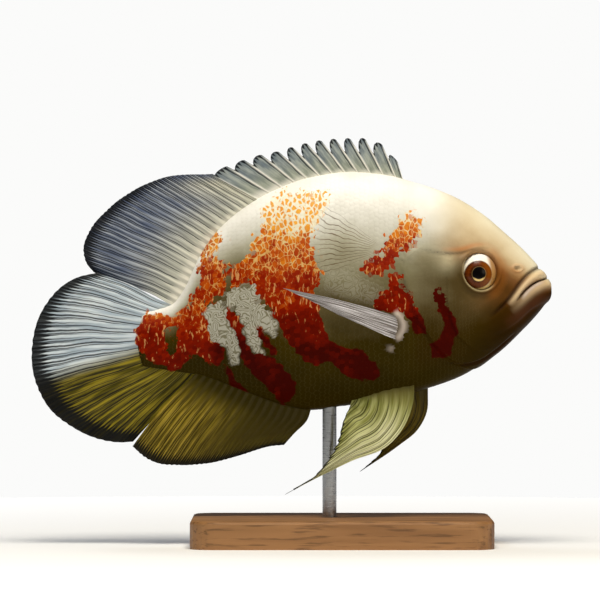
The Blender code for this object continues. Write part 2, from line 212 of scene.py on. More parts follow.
def flesh_lattice():
    """Points of the flesh by ring and step, and the lengths of the steps above and below the middle."""
    places = ring_places()
    inside = np.maximum(places, TAIL_X)
    shrink = 1 - np.clip((TAIL_X - places) / TAIL_BULGE, 0, 1) ** 1.6
    middle = outline_value(WIDEST_HEIGHT, inside)
    half_width = outline_value(HALF_WIDTH, inside) * shrink
    angles = np.linspace(0, math.pi, 361)
    points = np.zeros((RINGS + 1, AROUND, 3))
    steps = np.zeros((RINGS + 1, 2))
    half = AROUND // 2
    for part, line in enumerate((BACK_LINE, BELLY_LINE)):
        rise = (outline_value(line, inside) - middle) * shrink
        for ring in range(RINGS + 1):
            y = half_width[ring] * np.sign(np.cos(angles)) * np.abs(np.cos(angles)) ** FLANK_FULLNESS
            z = rise[ring] * np.sin(angles)
            run = np.concatenate(([0.0], np.cumsum(np.hypot(np.diff(y), np.diff(z)))))
            at = np.linspace(0, run[-1], half + 1)
            steps[ring, part] = run[-1] / half
            ys, zs = np.interp(at, run, y), np.interp(at, run, z) + middle[ring]
            if part:
                ys, zs = ys[::-1], zs[::-1]
            points[ring, part * half:part * half + half, 1] = ys[:half]
            points[ring, part * half:part * half + half, 2] = zs[:half]
    points[:, :, 0] = places[:, None]
    points[0, :] = (SNOUT_X, 0, SNOUT_Z)
    return points, np.maximum(steps, 1e-4)


def lattice_normals(points):
    """Outward unit normals of a lattice of points."""
    down = np.gradient(points, axis=0)
    across = np.roll(points, -1, axis=1) - np.roll(points, 1, axis=1)
    normals = np.cross(across, down)
    normals[0], normals[-1] = (1, 0, 0), (-1, 0, 0)
    length = np.linalg.norm(normals, axis=2, keepdims=True)
    return normals / np.maximum(length, 1e-12)


flesh_points, flesh_steps = flesh_lattice()
flesh_normals = lattice_normals(flesh_points)
if flesh_normals[RINGS // 2, 0, 1] < 0:
    flesh_normals[1:-1] *= -1
widest = float(flesh_points[..., 1].max())
print("flesh lattice", flesh_points.shape[:2], "half width", round(widest, 1), "mm")

# %% [markdown]
# The head carries the character: heavy lips that turn down, a groove behind the upper
# lip, a nostril, the raised rim of skin round the eye, the curved edge of the cheek and
# the free edge of the gill cover. Each is a soft hill or groove along a path drawn in the
# side view, so a sculptor's marks are listed as paths with a height and a width.

# %% Paths drawn on the head
EYE_CENTRE = np.array((93.2, 15.6, 136.3))
EYE_RADII = (8.7, 6.3, 9.4)
EYE_TURN, EYE_TILT = math.radians(14), math.radians(12)
MOUTH = ((131, 134.4), (127.9, 133.5), (122.3, 131.5), (117.6, 128.4), (114.0, 124.6), (112.2, 121.8))
UPPER_LIP = ((128.4, 136.2), (124.4, 135.6), (119.6, 133.0), (115.4, 129.2), (111.6, 124.4), (107.8, 120.0))
LIP_GROOVE = ((126.6, 139.6), (123.3, 138.6), (119.0, 136.2), (114.2, 131.4), (108.7, 123.7), (102.6, 117.3),
              (98.6, 113.6))
LOWER_LIP = ((131, 130.4), (127.2, 130.3), (121.6, 127.6), (117.0, 123.6), (113.2, 119.6), (109.4, 116.2))
LIP_STRIP = ((126.4, 132.0), (121.6, 130.0), (117.4, 126.6), (114.4, 122.8))
THROAT_LINE = ((76, 91.6), (81.5, 90.6), (88, 90.4), (95.2, 92.4), (101.2, 96.3), (106, 100.2), (112, 106))
LOWER_LIP_BAND = ((131, 125.5), (124.6, 123.8), (117.8, 119.2), (111.0, 113.6), (105.8, 110.4))
CHIN_GROOVE = ((128.4, 121.4), (121, 117.8), (112.6, 110.4), (104.6, 105.6), (96, 103.2))
CHEEK_EDGE = ((80.2, 147), (77.6, 136), (77.2, 124), (79.2, 112), (84.5, 102.4), (93, 97.2), (102, 98.2))
GILL_EDGE = ((66, 150), (58.6, 146.4), (55.2, 141), (55.4, 134), (57.6, 126), (62.2, 114), (69.4, 102),
             (78.6, 92.4), (90, 87.6), (102, 93.2))
BROW_FOLD = ((99, 149.6), (92, 149.4), (84, 147.2), (74, 147.0), (63, 149.4))
UNDER_EYE = ((101, 128), (97, 124.6), (90.4, 124.2), (84, 127.6))
FIN_MOUND = ((50.5, 116.8), (54.0, 113.6), (55.4, 109.6), (54.2, 105.4), (51.5, 102.4))
FIN_LUMP = ((50.0, 100.2), (48.6, 96.6))
NOSTRIL = (112.6, 138.2)


def raised(path, up):
    """The same path, moved up by some millimetres."""
    return [(px, pz + up) for px, pz in path]


# Path, height in mm with grooves below zero, width, fade at its start and end, and whether
# it flattens at the middle of the snout.
HEAD_MARKS = (
    (UPPER_LIP, 0.95, 1.6, 0.01, 0.3, True), (LOWER_LIP, 1.0, 2.2, 0.01, 0.35, True),
    (LOWER_LIP_BAND, 0.6, 3.0, 0.01, 0.5, False), (LIP_GROOVE, -1.35, 0.9, 0.12, 0.25, False),
    (MOUTH, -1.9, 0.5, 0.01, 0.2, True), (CHIN_GROOVE, -0.6, 1.3, 0.25, 0.4, False),
    (BROW_FOLD, 0.35, 1.6, 0.3, 0.3, False), (raised(BROW_FOLD, -2.1), -0.35, 1.1, 0.3, 0.3, False),
    (UNDER_EYE, -0.3, 1.4, 0.3, 0.3, False), (THROAT_LINE, -0.9, 0.6, 0.2, 0.2, False),
    (FIN_MOUND, 2.6, 2.0, 0.15, 0.15, False), (FIN_LUMP, 1.2, 1.8, 0.2, 0.2, False),
)
print("mouth runs back", round(MOUTH[0][0] - MOUTH[-1][0], 1), "mm from the snout")

# %% [markdown]
# A sculpting brush would leave such marks by hand. Here each point of the skin is told its
# distance from a path instead, and a soft bell of that distance is the height of the mark.
# That can be changed by one number, and gives the same head on each run.

# %% Hills and grooves along a path
def along_path(x, z, path, samples=60):
    """Distance from points to a smooth path in the side view, how far along, and the side of it."""
    line = curve_through([(p[0], 0, p[1]) for p in path], np.linspace(0, 1, samples))[:, (0, 2)]
    best = np.full(x.shape, 1e9)
    where = np.zeros(x.shape)
    side = np.zeros(x.shape)
    for i in range(samples - 1):
        (ax, az), (bx, bz) = line[i], line[i + 1]
        dx, dz = bx - ax, bz - az
        t = np.clip(((x - ax) * dx + (z - az) * dz) / (dx * dx + dz * dz), 0, 1)
        gap = np.hypot(x - ax - t * dx, z - az - t * dz)
        nearer = gap < best
        best = np.where(nearer, gap, best)
        where = np.where(nearer, (i + t) / (samples - 1), where)
        side = np.where(nearer, np.sign(dx * (z - az) - dz * (x - ax)), side)
    return best, where, side


def faded(where, fade_in, fade_out):
    """1 along a path and 0 at its ends, for places given as shares of its length."""
    return np.clip(where / fade_in, 0, 1) * np.clip((1 - where) / fade_out, 0, 1)


def mark_along(x, z, path, height, width, fade_in=0.08, fade_out=0.3):
    """A ridge, or a groove for a height below zero, along a path, fading out at its ends."""
    distance, where, _ = along_path(x, z, path)
    return height * bump(distance, width) * faded(where, fade_in, fade_out) ** 0.7


def from_nostril(x, z):
    """Distance from the nostril, which is a low oval lying along the snout."""
    return np.hypot((x - NOSTRIL[0]) / 1.5, z - NOSTRIL[1])


def head_relief(x, y, z):
    """How far the skin of the head stands out of the plain flesh, in mm."""
    flat_front = smooth_step(np.abs(y), 1.0, 7.0) * 0.65 + 0.35
    rise = np.zeros(x.shape)
    for path, height, width, fade_in, fade_out, flattens in HEAD_MARKS:
        mark = mark_along(x, z, path, height, width, fade_in, fade_out)
        rise += mark * flat_front if flattens else mark
    distance, where, side = along_path(x, z, CHEEK_EDGE)
    cheek = 0.55 * np.exp(-distance / 3.0) * (side > 0)
    cheek = cheek - 0.35 * np.exp(-distance / 1.6) * (side <= 0)
    rise += faded(where, 0.15, 0.25) * cheek
    distance, where, side = along_path(x, z, GILL_EDGE)
    cover = 0.95 * np.exp(-distance / 5.0) * smooth_step(distance, 0.0, 0.5)
    behind = -0.75 * np.exp(-distance / 2.2) * smooth_step(distance, 0.0, 0.5)
    rise += faded(where, 0.1, 0.2) * np.where(side > 0, cover, behind)
    rise += 0.5 * bump(from_nostril(x, z) - 1.6, 0.6) - 0.9 * bump(from_nostril(x, z), 0.9)
    return rise


at_lip = (np.array([119.6]), np.array([133.0]))
print("the upper lip stands out", round(float(mark_along(*at_lip, UPPER_LIP, 0.95, 1.6)[0]), 2), "mm")

# %% [markdown]
# A fish's eye has no lids. It sits in a round socket, and a low rim of skin holds it. The
# eyes look a little forward and up, so the socket is worked out in the eye's own
# directions: the skin is pressed in under the ball and raised just round it.

# %% Eye sockets
def to_eye(points):
    """Points in the eye's own directions: forward, outward and up from its centre, in mm."""
    side = np.where(points[..., 1] < 0, -1.0, 1.0)
    x = points[..., 0] - EYE_CENTRE[0]
    y = points[..., 1] * side - EYE_CENTRE[1]
    z = points[..., 2] - EYE_CENTRE[2]
    forward = x * math.cos(EYE_TURN) - y * math.sin(EYE_TURN)
    level = y * math.cos(EYE_TURN) + x * math.sin(EYE_TURN)
    outward = level * math.cos(EYE_TILT) + z * math.sin(EYE_TILT)
    up = z * math.cos(EYE_TILT) - level * math.sin(EYE_TILT)
    return np.stack((forward, outward, up), axis=-1)


def from_eye(local, side):
    """The way back from the eye's own directions to the fish's."""
    forward, outward, up = local[..., 0], local[..., 1], local[..., 2]
    level = outward * math.cos(EYE_TILT) - up * math.sin(EYE_TILT)
    z = outward * math.sin(EYE_TILT) + up * math.cos(EYE_TILT)
    x = forward * math.cos(EYE_TURN) + level * math.sin(EYE_TURN)
    y = level * math.cos(EYE_TURN) - forward * math.sin(EYE_TURN)
    return np.stack((EYE_CENTRE[0] + x, side * (EYE_CENTRE[1] + y), EYE_CENTRE[2] + z), axis=-1)


# How far out the skin lies, in mm, at shares of the eye's radius.
LID_PROFILE = ((0.0, -1.5), (0.8, -1.2), (0.93, 0.4), (0.985, 1.75), (1.05, 2.95), (1.12, 3.5))


def seat_eyes(points):
    """Presses the skin in under each eyeball and raises the rim of skin round it."""
    local = to_eye(points)
    reach = np.hypot(local[..., 0] / EYE_RADII[0], local[..., 2] / EYE_RADII[2])
    near = (reach < 1.7) & (local[..., 1] > -5)
    target = np.interp(reach, [p[0] for p in LID_PROFILE], [p[1] for p in LID_PROFILE])
    rim = local[..., 1] + 0.85 * bump(reach - 1.17, 0.16)
    local[..., 1] = np.where(reach < 1.12, np.minimum(target, rim), rim)
    side = np.where(points[..., 1] < 0, -1.0, 1.0)
    moved = from_eye(local, side)
    return np.where(near[..., None], moved, points), np.where(near, reach, 9.0)


body_rise = head_relief(flesh_points[..., 0], flesh_points[..., 1], flesh_points[..., 2])
skin_points = flesh_points + flesh_normals * (body_rise - COAT_DEPTH)[..., None]
skin_points[0], skin_points[-1] = skin_points[0].mean(axis=0), skin_points[-1].mean(axis=0)
skin_points, eye_reach = seat_eyes(skin_points)
skin_normals = lattice_normals(skin_points)
if skin_normals[RINGS // 2, 0, 1] < 0:
    skin_normals[1:-1] *= -1
print("relief from", round(float(body_rise.min()), 2), "to", round(float(body_rise.max()), 2), "mm")

# %% [markdown]
# The red tiger markings are flat outlines drawn in the side view, in millimetres. Skin
# and scales both ask the same functions how red, how pale or how dark a place is, so
# the two always agree. The left flank wears the same markings a little shifted, as no
# fish is alike on both sides.

# %% Outlines of the markings
SADDLE = (
    (-13.25, 170), (-7.75, 174.5), (-1.75, 177.5), (10.75, 177), (18.75, 176), (19.75, 169),
    (14.75, 163.5), (12.25, 157.5), (9.75, 149.5), (14.25, 141.5), (14.75, 136), (12.75, 125.5),
    (13.25, 118), (17.25, 108), (18.75, 103), (27.25, 99), (32.25, 99), (36.25, 97), (39.75, 93),
    (43.75, 89), (44.75, 84.5), (41.25, 82), (33.75, 82.5), (27.25, 84.5), (22.75, 88),
    (18.25, 92), (13.25, 89.5), (8.75, 90), (3.75, 94.5), (-1.75, 101.5), (-6.25, 109.5),
    (-8.75, 114.5), (-11.75, 121), (-16.25, 125.5), (-15.75, 128.5), (-18.25, 130.5),
    (-29.75, 130.5), (-31.25, 135.5), (-26.75, 140.5), (-20.75, 143.5), (-19.25, 149.5),
    (-15.75, 155), (-13.25, 160), (-12.75, 165.5),
)
REAR_BAND = (
    (-36.25, 141.5), (-31.75, 140.5), (-31.25, 135.5), (-32.25, 127.5), (-40.25, 121),
    (-43.25, 116), (-40.75, 108), (-40.25, 103), (-33.25, 99), (-32.75, 93), (-36.75, 89),
    (-43.25, 91.5), (-44.75, 94.5), (-50.75, 94), (-54.25, 88.5), (-59.75, 85.5), (-63.25, 89.5),
    (-68.25, 90.5), (-73.75, 94), (-78.25, 101), (-77.75, 107.5), (-74.25, 112.5), (-71.75, 117),
    (-67.25, 115.5), (-60.75, 114), (-55.25, 115.5), (-51.25, 118.5), (-48.75, 124),
    (-45.25, 130.5), (-45.25, 139.5), (-44.25, 145), (-38.75, 145),
)
DOTS = ((-42.25, 154.5), (-37.75, 157.5), (-32.75, 153.5), (-36.75, 147.5), (-39.75, 143.5),
        (-44.25, 142.5), (-45.75, 147.5))
STRIPE = (
    (-31.75, 118.5), (-26.75, 117.5), (-24.25, 109.5), (-22.75, 103), (-20.75, 99.5), (-18.25, 96),
    (-11.75, 95.5), (-7.75, 93), (-2.75, 88), (2.25, 81.5), (3.25, 78), (1.25, 75.5),
    (-1.25, 70.5), (-5.75, 69), (-7.75, 74.5), (-12.75, 79), (-18.25, 84), (-22.75, 88),
    (-25.25, 94.5), (-26.75, 101.5), (-30.25, 109.5), (-32.25, 115),
)
SLIVER = ((-18.25, 109.5), (-14.75, 109.5), (-10.75, 103), (-6.75, 97), (-8.75, 94), (-13.75, 99.5),
          (-17.75, 105.5))
DRIP = ((-34.25, 91.5), (-29.25, 87.5), (-26.25, 81), (-21.75, 78), (-20.75, 74), (-28.75, 73.5),
        (-31.25, 78.5), (-32.25, 83.5))
SHOULDER = (
    (58.75, 165), (65.25, 163), (65.75, 157.5), (62.75, 151), (57.75, 147.5), (52.25, 143.5),
    (47.25, 137.5), (41.25, 134.5), (35.25, 136.5), (35.25, 139.5), (41.25, 144.5), (47.25, 146),
    (47.75, 152.5), (52.25, 158.5), (56.25, 161.5),
)
WEDGE = (
    (54.25, 137.5), (56.25, 130.5), (60.25, 124.5), (64.25, 117), (67.75, 105.5), (60.25, 105.5),
    (58.75, 111), (55.25, 116), (50.25, 115.5), (40.75, 117), (40.25, 123.5), (46.25, 125.5),
    (49.75, 129.5), (49.75, 134.5),
)
GILL_PATCH = (
    (72, 129.5), (76, 125.5), (78.4, 119.5), (81.2, 113.5), (82.8, 107), (80.8, 101), (79, 94.5),
    (69.5, 93.5), (68.5, 101), (74, 104.5), (75, 108), (74.4, 113.5), (72.4, 119), (71, 123.5),
)
WORMED_REAR = (
    (-44, 116.4), (-39.7, 120.7), (-33.3, 122.9), (-31.8, 116.4), (-29.7, 109.3), (-26.8, 102.9),
    (-25.4, 97.1), (-26.8, 90), (-29, 90), (-31.8, 96.4), (-32.5, 100), (-39.7, 100), (-40.8, 105.7),
)
WORMED = (
    (-33.3, 122.9), (-31.1, 126.4), (-26.8, 129.3), (-18.3, 130), (-15.4, 122.9), (-9.7, 116.4),
    (-6.8, 109.3), (-8.3, 104.3), (-12.5, 106.4), (-15.4, 108.6), (-15.4, 100), (-11.8, 91.4),
    (-15.4, 90.7), (-18.3, 97.1), (-21.8, 100.7), (-24, 109.3), (-26.8, 118.6), (-31.1, 118.6),
)
SILVERED = ((16, 139), (30, 138), (40, 132), (47, 127), (42, 120), (26, 124), (17, 126))
PALE_HOLE = ((-64.25, 107.5), (-56.75, 110.5), (-56.25, 101), (-59.25, 94.5), (-61.25, 94), (-63.25, 101))
RED_OUTLINES = (SADDLE, REAR_BAND, DOTS, STRIPE, SLIVER, DRIP, SHOULDER, WEDGE, GILL_PATCH)
print("red outlines:", len(RED_OUTLINES), "with", sum(len(o) for o in RED_OUTLINES), "corners")

# %% [markdown]
# Painting on an unwrap would need a picture. Instead each point is asked how deep inside an
# outline it lies, and a smooth wave moves the border a little. Heat says whether the red
# is deep and smooth, as on the belly, or loose orange cells, as on the back.

# %% How red a place is
# Heat of the red at heights of the side view, in mm.
HEAT_HEIGHTS = (84, 100, 110, 118, 132, 145, 158, 172)
HEATS = (0.0, 0.1, 0.22, 0.35, 0.46, 0.58, 0.76, 0.95)


def inside_depth(x, z, outline):
    """How deep inside an outline a place of the side view lies; negative outside."""
    nearest = np.full(x.shape, 1e9)
    crossings = np.zeros(x.shape, bool)
    for (ax, az), (bx, bz) in zip(outline, outline[1:] + outline[:1]):
        dx, dz = bx - ax, bz - az
        t = np.clip(((x - ax) * dx + (z - az) * dz) / (dx * dx + dz * dz), 0, 1)
        nearest = np.minimum(nearest, np.hypot(x - ax - t * dx, z - az - t * dz))
        spans = (az > z) != (bz > z)
        crossings ^= spans & (x < ax + (z - az) / (dz if dz else 1e-9) * dx)
    return np.where(crossings, nearest, -nearest)


def ripple(x, z, size, seed=0):
    """A smooth irregular wave between about -1 and 1, its bumps about the size given, in mm."""
    turns = np.random.default_rng(seed).uniform(0, math.tau, (5, 2))
    total = 0
    for turn, start in turns:
        total = total + np.sin((x * math.cos(turn) + z * math.sin(turn)) * math.pi / size + start)
    return total / 2.6


def markings(x, y, z):
    """Redness, heat of the red and paleness of the wormy places, each from 0 to 1."""
    left = y > 0
    at_x = x + np.where(left, 3.0 + 2.5 * ripple(x, z, 30, 7), 0.0)
    at_z = z + np.where(left, 2.5 * ripple(x, z, 26, 8), 0.0)
    at_x = at_x + 0.7 * ripple(x, z, 2.6, 1)
    at_z = at_z + 0.7 * ripple(x, z, 2.2, 2)
    red = np.full(x.shape, -9.0)
    for outline in RED_OUTLINES:
        red = np.maximum(red, inside_depth(at_x, at_z, outline))
    red = np.where(inside_depth(at_x, at_z, PALE_HOLE) > 0, -1.0, red)
    heat = np.interp(z, HEAT_HEIGHTS, HEATS)
    heat = heat - 0.13 * smooth_step(x, 26, 38) - 0.3 * smooth_step(x, 66, 72) + 0.06 * ripple(x, z, 9, 3)
    heat = heat + 0.2 * smooth_step(x, -30, -44) * smooth_step(z, 128, 116)
    worm = np.maximum(inside_depth(at_x, at_z, WORMED), inside_depth(at_x, at_z, WORMED_REAR))
    worm = np.maximum(smooth_step(worm, -0.8, 0.8), 0.3 * smooth_step(inside_depth(x, z, SILVERED), -3, 4))
    return red, np.clip(heat, 0, 1), worm


deep = inside_depth(np.array([0.0]), np.array([150.0]), SADDLE)[0]
print("middle of the band lies", round(float(deep), 1), "mm inside its outline")

# %% [markdown]
# A fish is pale below in life, but this one is lit from above and shows dark olive there.
# So a painted shade is stored by the height between belly and back, over the fish's own
# olive low down and deepened on the sides of the head, with a warm face and a grey gill
# cover, and both skin and scales read it.

# %% Shade, face and folds
# Painted shade of the flank at shares of the height from belly to back.
SHADE_HEIGHTS = (0, 0.1, 0.22, 0.36, 0.5, 0.64, 0.8, 0.95)
SHADES = (1.0, 0.92, 0.81, 0.67, 0.56, 0.4, 0.17, 0.02)
PALE_CHEEK = (77.5, 141.0)


def tones(x, z):
    """Depth of the painted shade, deepest on the belly, tan of the face and grey of the gill cover, each
    from 0 to 1.
    """
    back = outline_value(BACK_LINE, x)
    belly = outline_value(BELLY_LINE, x)
    height = (z - belly) / np.maximum(back - belly, 1.0)
    shade = np.interp(height, SHADE_HEIGHTS, SHADES)
    temple = smooth_step(height, 0.58, 0.74)
    sides = smooth_step(height, 1.08, 0.8) * smooth_step(height, 0.4, 0.62) * (1 - 0.45 * temple)
    # Painted shade laid over the sides of the head.
    shade = shade + 0.22 * smooth_step(x, 58, 90) * smooth_step(x, 118, 98) * sides
    shade = shade + 0.19 * smooth_step(x, 4, -30) * smooth_step(height, 1.04, 0.74)
    shade = shade - 0.26 * bump(np.hypot(x - PALE_CHEEK[0], z - PALE_CHEEK[1]), 6.0)
    shade = shade + 0.03 * ripple(x, z, 14, 4)
    face = smooth_step(x, 76 - 14 * temple, 112 - 22 * temple) * (0.6 + 0.4 * smooth_step(height, 0.9, 0.3))
    grey = smooth_step(x, 57, 66) * smooth_step(x, 96, 80)
    grey = grey * smooth_step(z, 152, 142) * smooth_step(z, 84, 96)
    return np.clip(shade, 0, 1), np.clip(face, 0, 1), grey


FOLDS_FROM = (48.0, 147.5)


def fold_mask(x, z):
    """Where the thin folds of skin behind the main band show."""
    reach = np.hypot(FOLDS_FROM[0] - x, z - FOLDS_FROM[1])
    angle = np.degrees(np.arctan2(z - FOLDS_FROM[1], FOLDS_FROM[0] - x))
    fan = smooth_step(angle, -24, -17) * smooth_step(angle, 40, 28)
    return fan * smooth_step(reach, 2, 8) * smooth_step(x, 8, 20)


print("shade of belly and back at x = 20:",
      [round(float(tones(np.array([20.0]), np.array([z]))[0][0]), 2) for z in (75.0, 180.0)])

# %% [markdown]
# The skin starts as a plain sphere from bmesh, whose points are then moved to the
# lattice: the sphere's height picks the ring and its turn picks the step round it. That
# keeps one closed surface with no seam, and a clean unwrap comes from the same numbers.

# %% Values stored on a mesh
def named_values(mesh, name, columns):
    """Stores up to three values a point under one name, for the materials to read."""
    values = np.zeros((len(mesh.vertices), 3), np.float32)
    for i, column in enumerate(columns):
        values[:, i] = column
    mesh.attributes.new(name, "FLOAT_VECTOR", "POINT").data.foreach_set("vector", values.ravel())


def one_value(mesh, name, values):
    """Stores one number a point under a name."""
    mesh.attributes.new(name, "FLOAT", "POINT").data.foreach_set("value", np.asarray(values, np.float32))


def bake_map(mesh, corner_places):
    """Writes the OFBake map from one pair of numbers a face corner."""
    layer = mesh.uv_layers.new(name="OFBake")
    layer.data.foreach_set("uv", np.asarray(corner_places, np.float32).ravel())


def points_of(mesh):
    """The mesh's points as rows of x, y and z."""
    found = np.zeros(len(mesh.vertices) * 3)
    mesh.vertices.foreach_get("co", found)
    return found.reshape(-1, 3)


def corners_of(mesh):
    """The point at each face corner, and the face that the corner belongs to."""
    corners = np.zeros(len(mesh.loops), int)
    mesh.loops.foreach_get("vertex_index", corners)
    return corners, np.repeat(np.arange(len(mesh.polygons)), [p.loop_total for p in mesh.polygons])


def piece_from(form, name, material):
    """Turns a bmesh into a smooth shaded object at the origin."""
    mesh = bpy.data.meshes.new(name)
    form.to_mesh(mesh)
    form.free()
    mesh.shade_smooth()
    mesh.materials.append(material)
    made = bpy.data.objects.new(name, mesh)
    bpy.context.scene.collection.objects.link(made)
    return made


print("a closed skin will have", AROUND * (RINGS - 1) + 2, "points")

# %% [markdown]
# The small tones of the face are stored as well: tan lips, the brown side of the lower
# lip, painted shade in the creases, the nostril and under the eye, the cream rim of the
# eye and the orange of the brow. They follow the same paths as the relief, so colour and
# shape can't drift apart.

# %% Build the skin
def build_skin(material):
    """The whole skin of head, body and tail stalk as one closed mesh."""
    form = bmesh.new()
    bmesh.ops.create_uvsphere(form, u_segments=AROUND, v_segments=RINGS, radius=1.0)
    skin = piece_from(form, "skin", material)
    mesh = skin.data
    ball = points_of(mesh)
    ring = np.rint(np.arccos(np.clip(ball[:, 2], -1, 1)) / math.pi * RINGS).astype(int)
    step = np.rint(np.arctan2(ball[:, 1], ball[:, 0]) / math.tau * AROUND).astype(int) % AROUND
    placed = skin_points[ring, step]
    mesh.vertices.foreach_set("co", (placed * MM).ravel())
    x, y, z = placed.T
    red, heat, worm = markings(x, y, z)
    shade, face, grey = tones(x, z)
    named_values(mesh, "marks", (red, heat, worm))
    named_values(mesh, "tones", (shade, face, grey))
    named_values(mesh, "lips", lip_tones(x, z))
    named_values(mesh, "creases", crease_shade_tones(x, z, eye_reach[ring, step]))
    one_value(mesh, "folds", fold_mask(x, z))
    corners, faces = corners_of(mesh)
    turn = step[corners] / AROUND
    high = np.zeros(len(mesh.polygons))
    np.maximum.at(high, faces, np.where((ring[corners] > 0) & (ring[corners] < RINGS), turn, 0))
    turn = np.where((high[faces] - turn > 0.5), turn + 1, turn) / (1 + 1 / AROUND)
    bake_map(mesh, np.stack((ring[corners] / RINGS, turn), axis=1))
    mesh.update()
    return skin


def lip_tones(x, z):
    """Tan of the lips and of the fin's root, brown of the lower lip's side, and its pale upper strip."""
    tan = mark_along(x, z, UPPER_LIP, 1.0, 1.7, 0.01, 0.2) + mark_along(x, z, LOWER_LIP, 0.8, 2.0, 0.01, 0.7)
    side = mark_along(x, z, LOWER_LIP_BAND, 1.0, 2.8, 0.3, 0.3)
    strip = mark_along(x, z, LIP_STRIP, 0.9, 0.9, 0.2, 0.2)
    strip = strip + mark_along(x, z, FIN_MOUND, 0.95, 2.0, 0.1, 0.1)
    strip = strip + mark_along(x, z, FIN_LUMP, 0.5, 2.0, 0.2, 0.2)
    return np.clip(tan, 0, 1), np.clip(side, 0, 1), np.clip(strip, 0, 1)


def crease_shade_tones(x, z, reach):
    """Painted shade in the creases, the nostril and under the eye, cream of the eyelid's rim and orange of
    the brow.
    """
    shade_in_creases = mark_along(x, z, LIP_GROOVE, 0.85, 1.0, 0.05, 0.2)
    shade_in_creases += mark_along(x, z, MOUTH, 0.9, 0.6, 0.01, 0.2)
    shade_in_creases += mark_along(x, z, THROAT_LINE, 1.0, 0.9, 0.1, 0.2)
    shade_in_creases += mark_along(x, z, raised(BROW_FOLD, -1.2), 0.5, 0.5, 0.3, 0.2)
    shade_in_creases += 0.3 * bump(from_nostril(x, z), 0.8)
    below = smooth_step(z, EYE_CENTRE[2] + 2, EYE_CENTRE[2] - 5)
    shade_in_creases += 0.6 * bump(reach - 1.2, 0.06) * below
    lid = bump(reach - 1.05, 0.05) * smooth_step(x + z - EYE_CENTRE[0] - EYE_CENTRE[2], 3, -5)
    brow = mark_along(x, z, raised(BROW_FOLD[:4], 0.6), 1.0, 1.1, 0.4, 0.4)
    brow = brow + 0.5 * bump(from_nostril(x, z) - 1.8, 0.9)
    front = bump(reach - 1.25, 0.35) * smooth_step(x, EYE_CENTRE[0] + 2, EYE_CENTRE[0] + 8)
    return np.clip(shade_in_creases, 0, 1), np.clip(lid, 0, 1), np.clip(brow + 0.55 * front, 0, 1)


print("lips, creases and eye rims are stored for the skin")

# %% [markdown]
# Wet fish skin is a thin clear slime over pale flesh: soft highlights, and colour that
# comes from below. The red lies in it as small cells in a cream net, loose on the back and
# run together on the belly. A cell texture, bent and stretched, draws them without a
# picture. Skin, scales and tail all wear the red, so one function lays it over any colour.

# %% Red cells in a cream net
# A cell, the waves that bend the cells and how far, and the clouds and specks of colour.
CELL, WANDER, WANDER_BY, RED_CLOUD, SPECK = 2.2 * MM, 4.5 * MM, 3.0 * MM, 8.0 * MM, 1.1 * MM
# The cells stand tall, and run well into the body, so the flank cuts them evenly.
CELL_STRETCH = (1.0, 0.3, 0.68)
# Blood red of the belly to the orange of the back, and the net between cells, brown to cream.
FLAME = ((0.12, "#420600"), (0.3, "#6E1000"), (0.46, "#861800"), (0.6, "#962402"), (0.74, "#BC4E0A"),
         (0.88, "#DC8218"), (1.0, "#F0AC3C"))
NET = ((0.32, "#8E3A10"), (0.42, "#B06A2E"), (0.54, "#D09A52"), (0.68, "#E8C67C"), (0.92, "#FFF4C8"))
FLECK = "#DCA060"


def bent_place(tree, place):
    """The place pushed about, so that cells come out uneven, and stretched so that they stand tall."""
    wander = node(tree, NOISE, {"Vector": place, "Scale": 1 / WANDER, "Detail": 2.0}, out=1)
    wander = node(tree, VECTORS, {0: wander, 1: (WANDER_BY, WANDER_BY, WANDER_BY)}, **TIMES)
    bent = node(tree, VECTORS, {0: place, 1: wander}, operation="ADD")
    return node(tree, STRETCH, {"Vector": bent, "Scale": CELL_STRETCH})


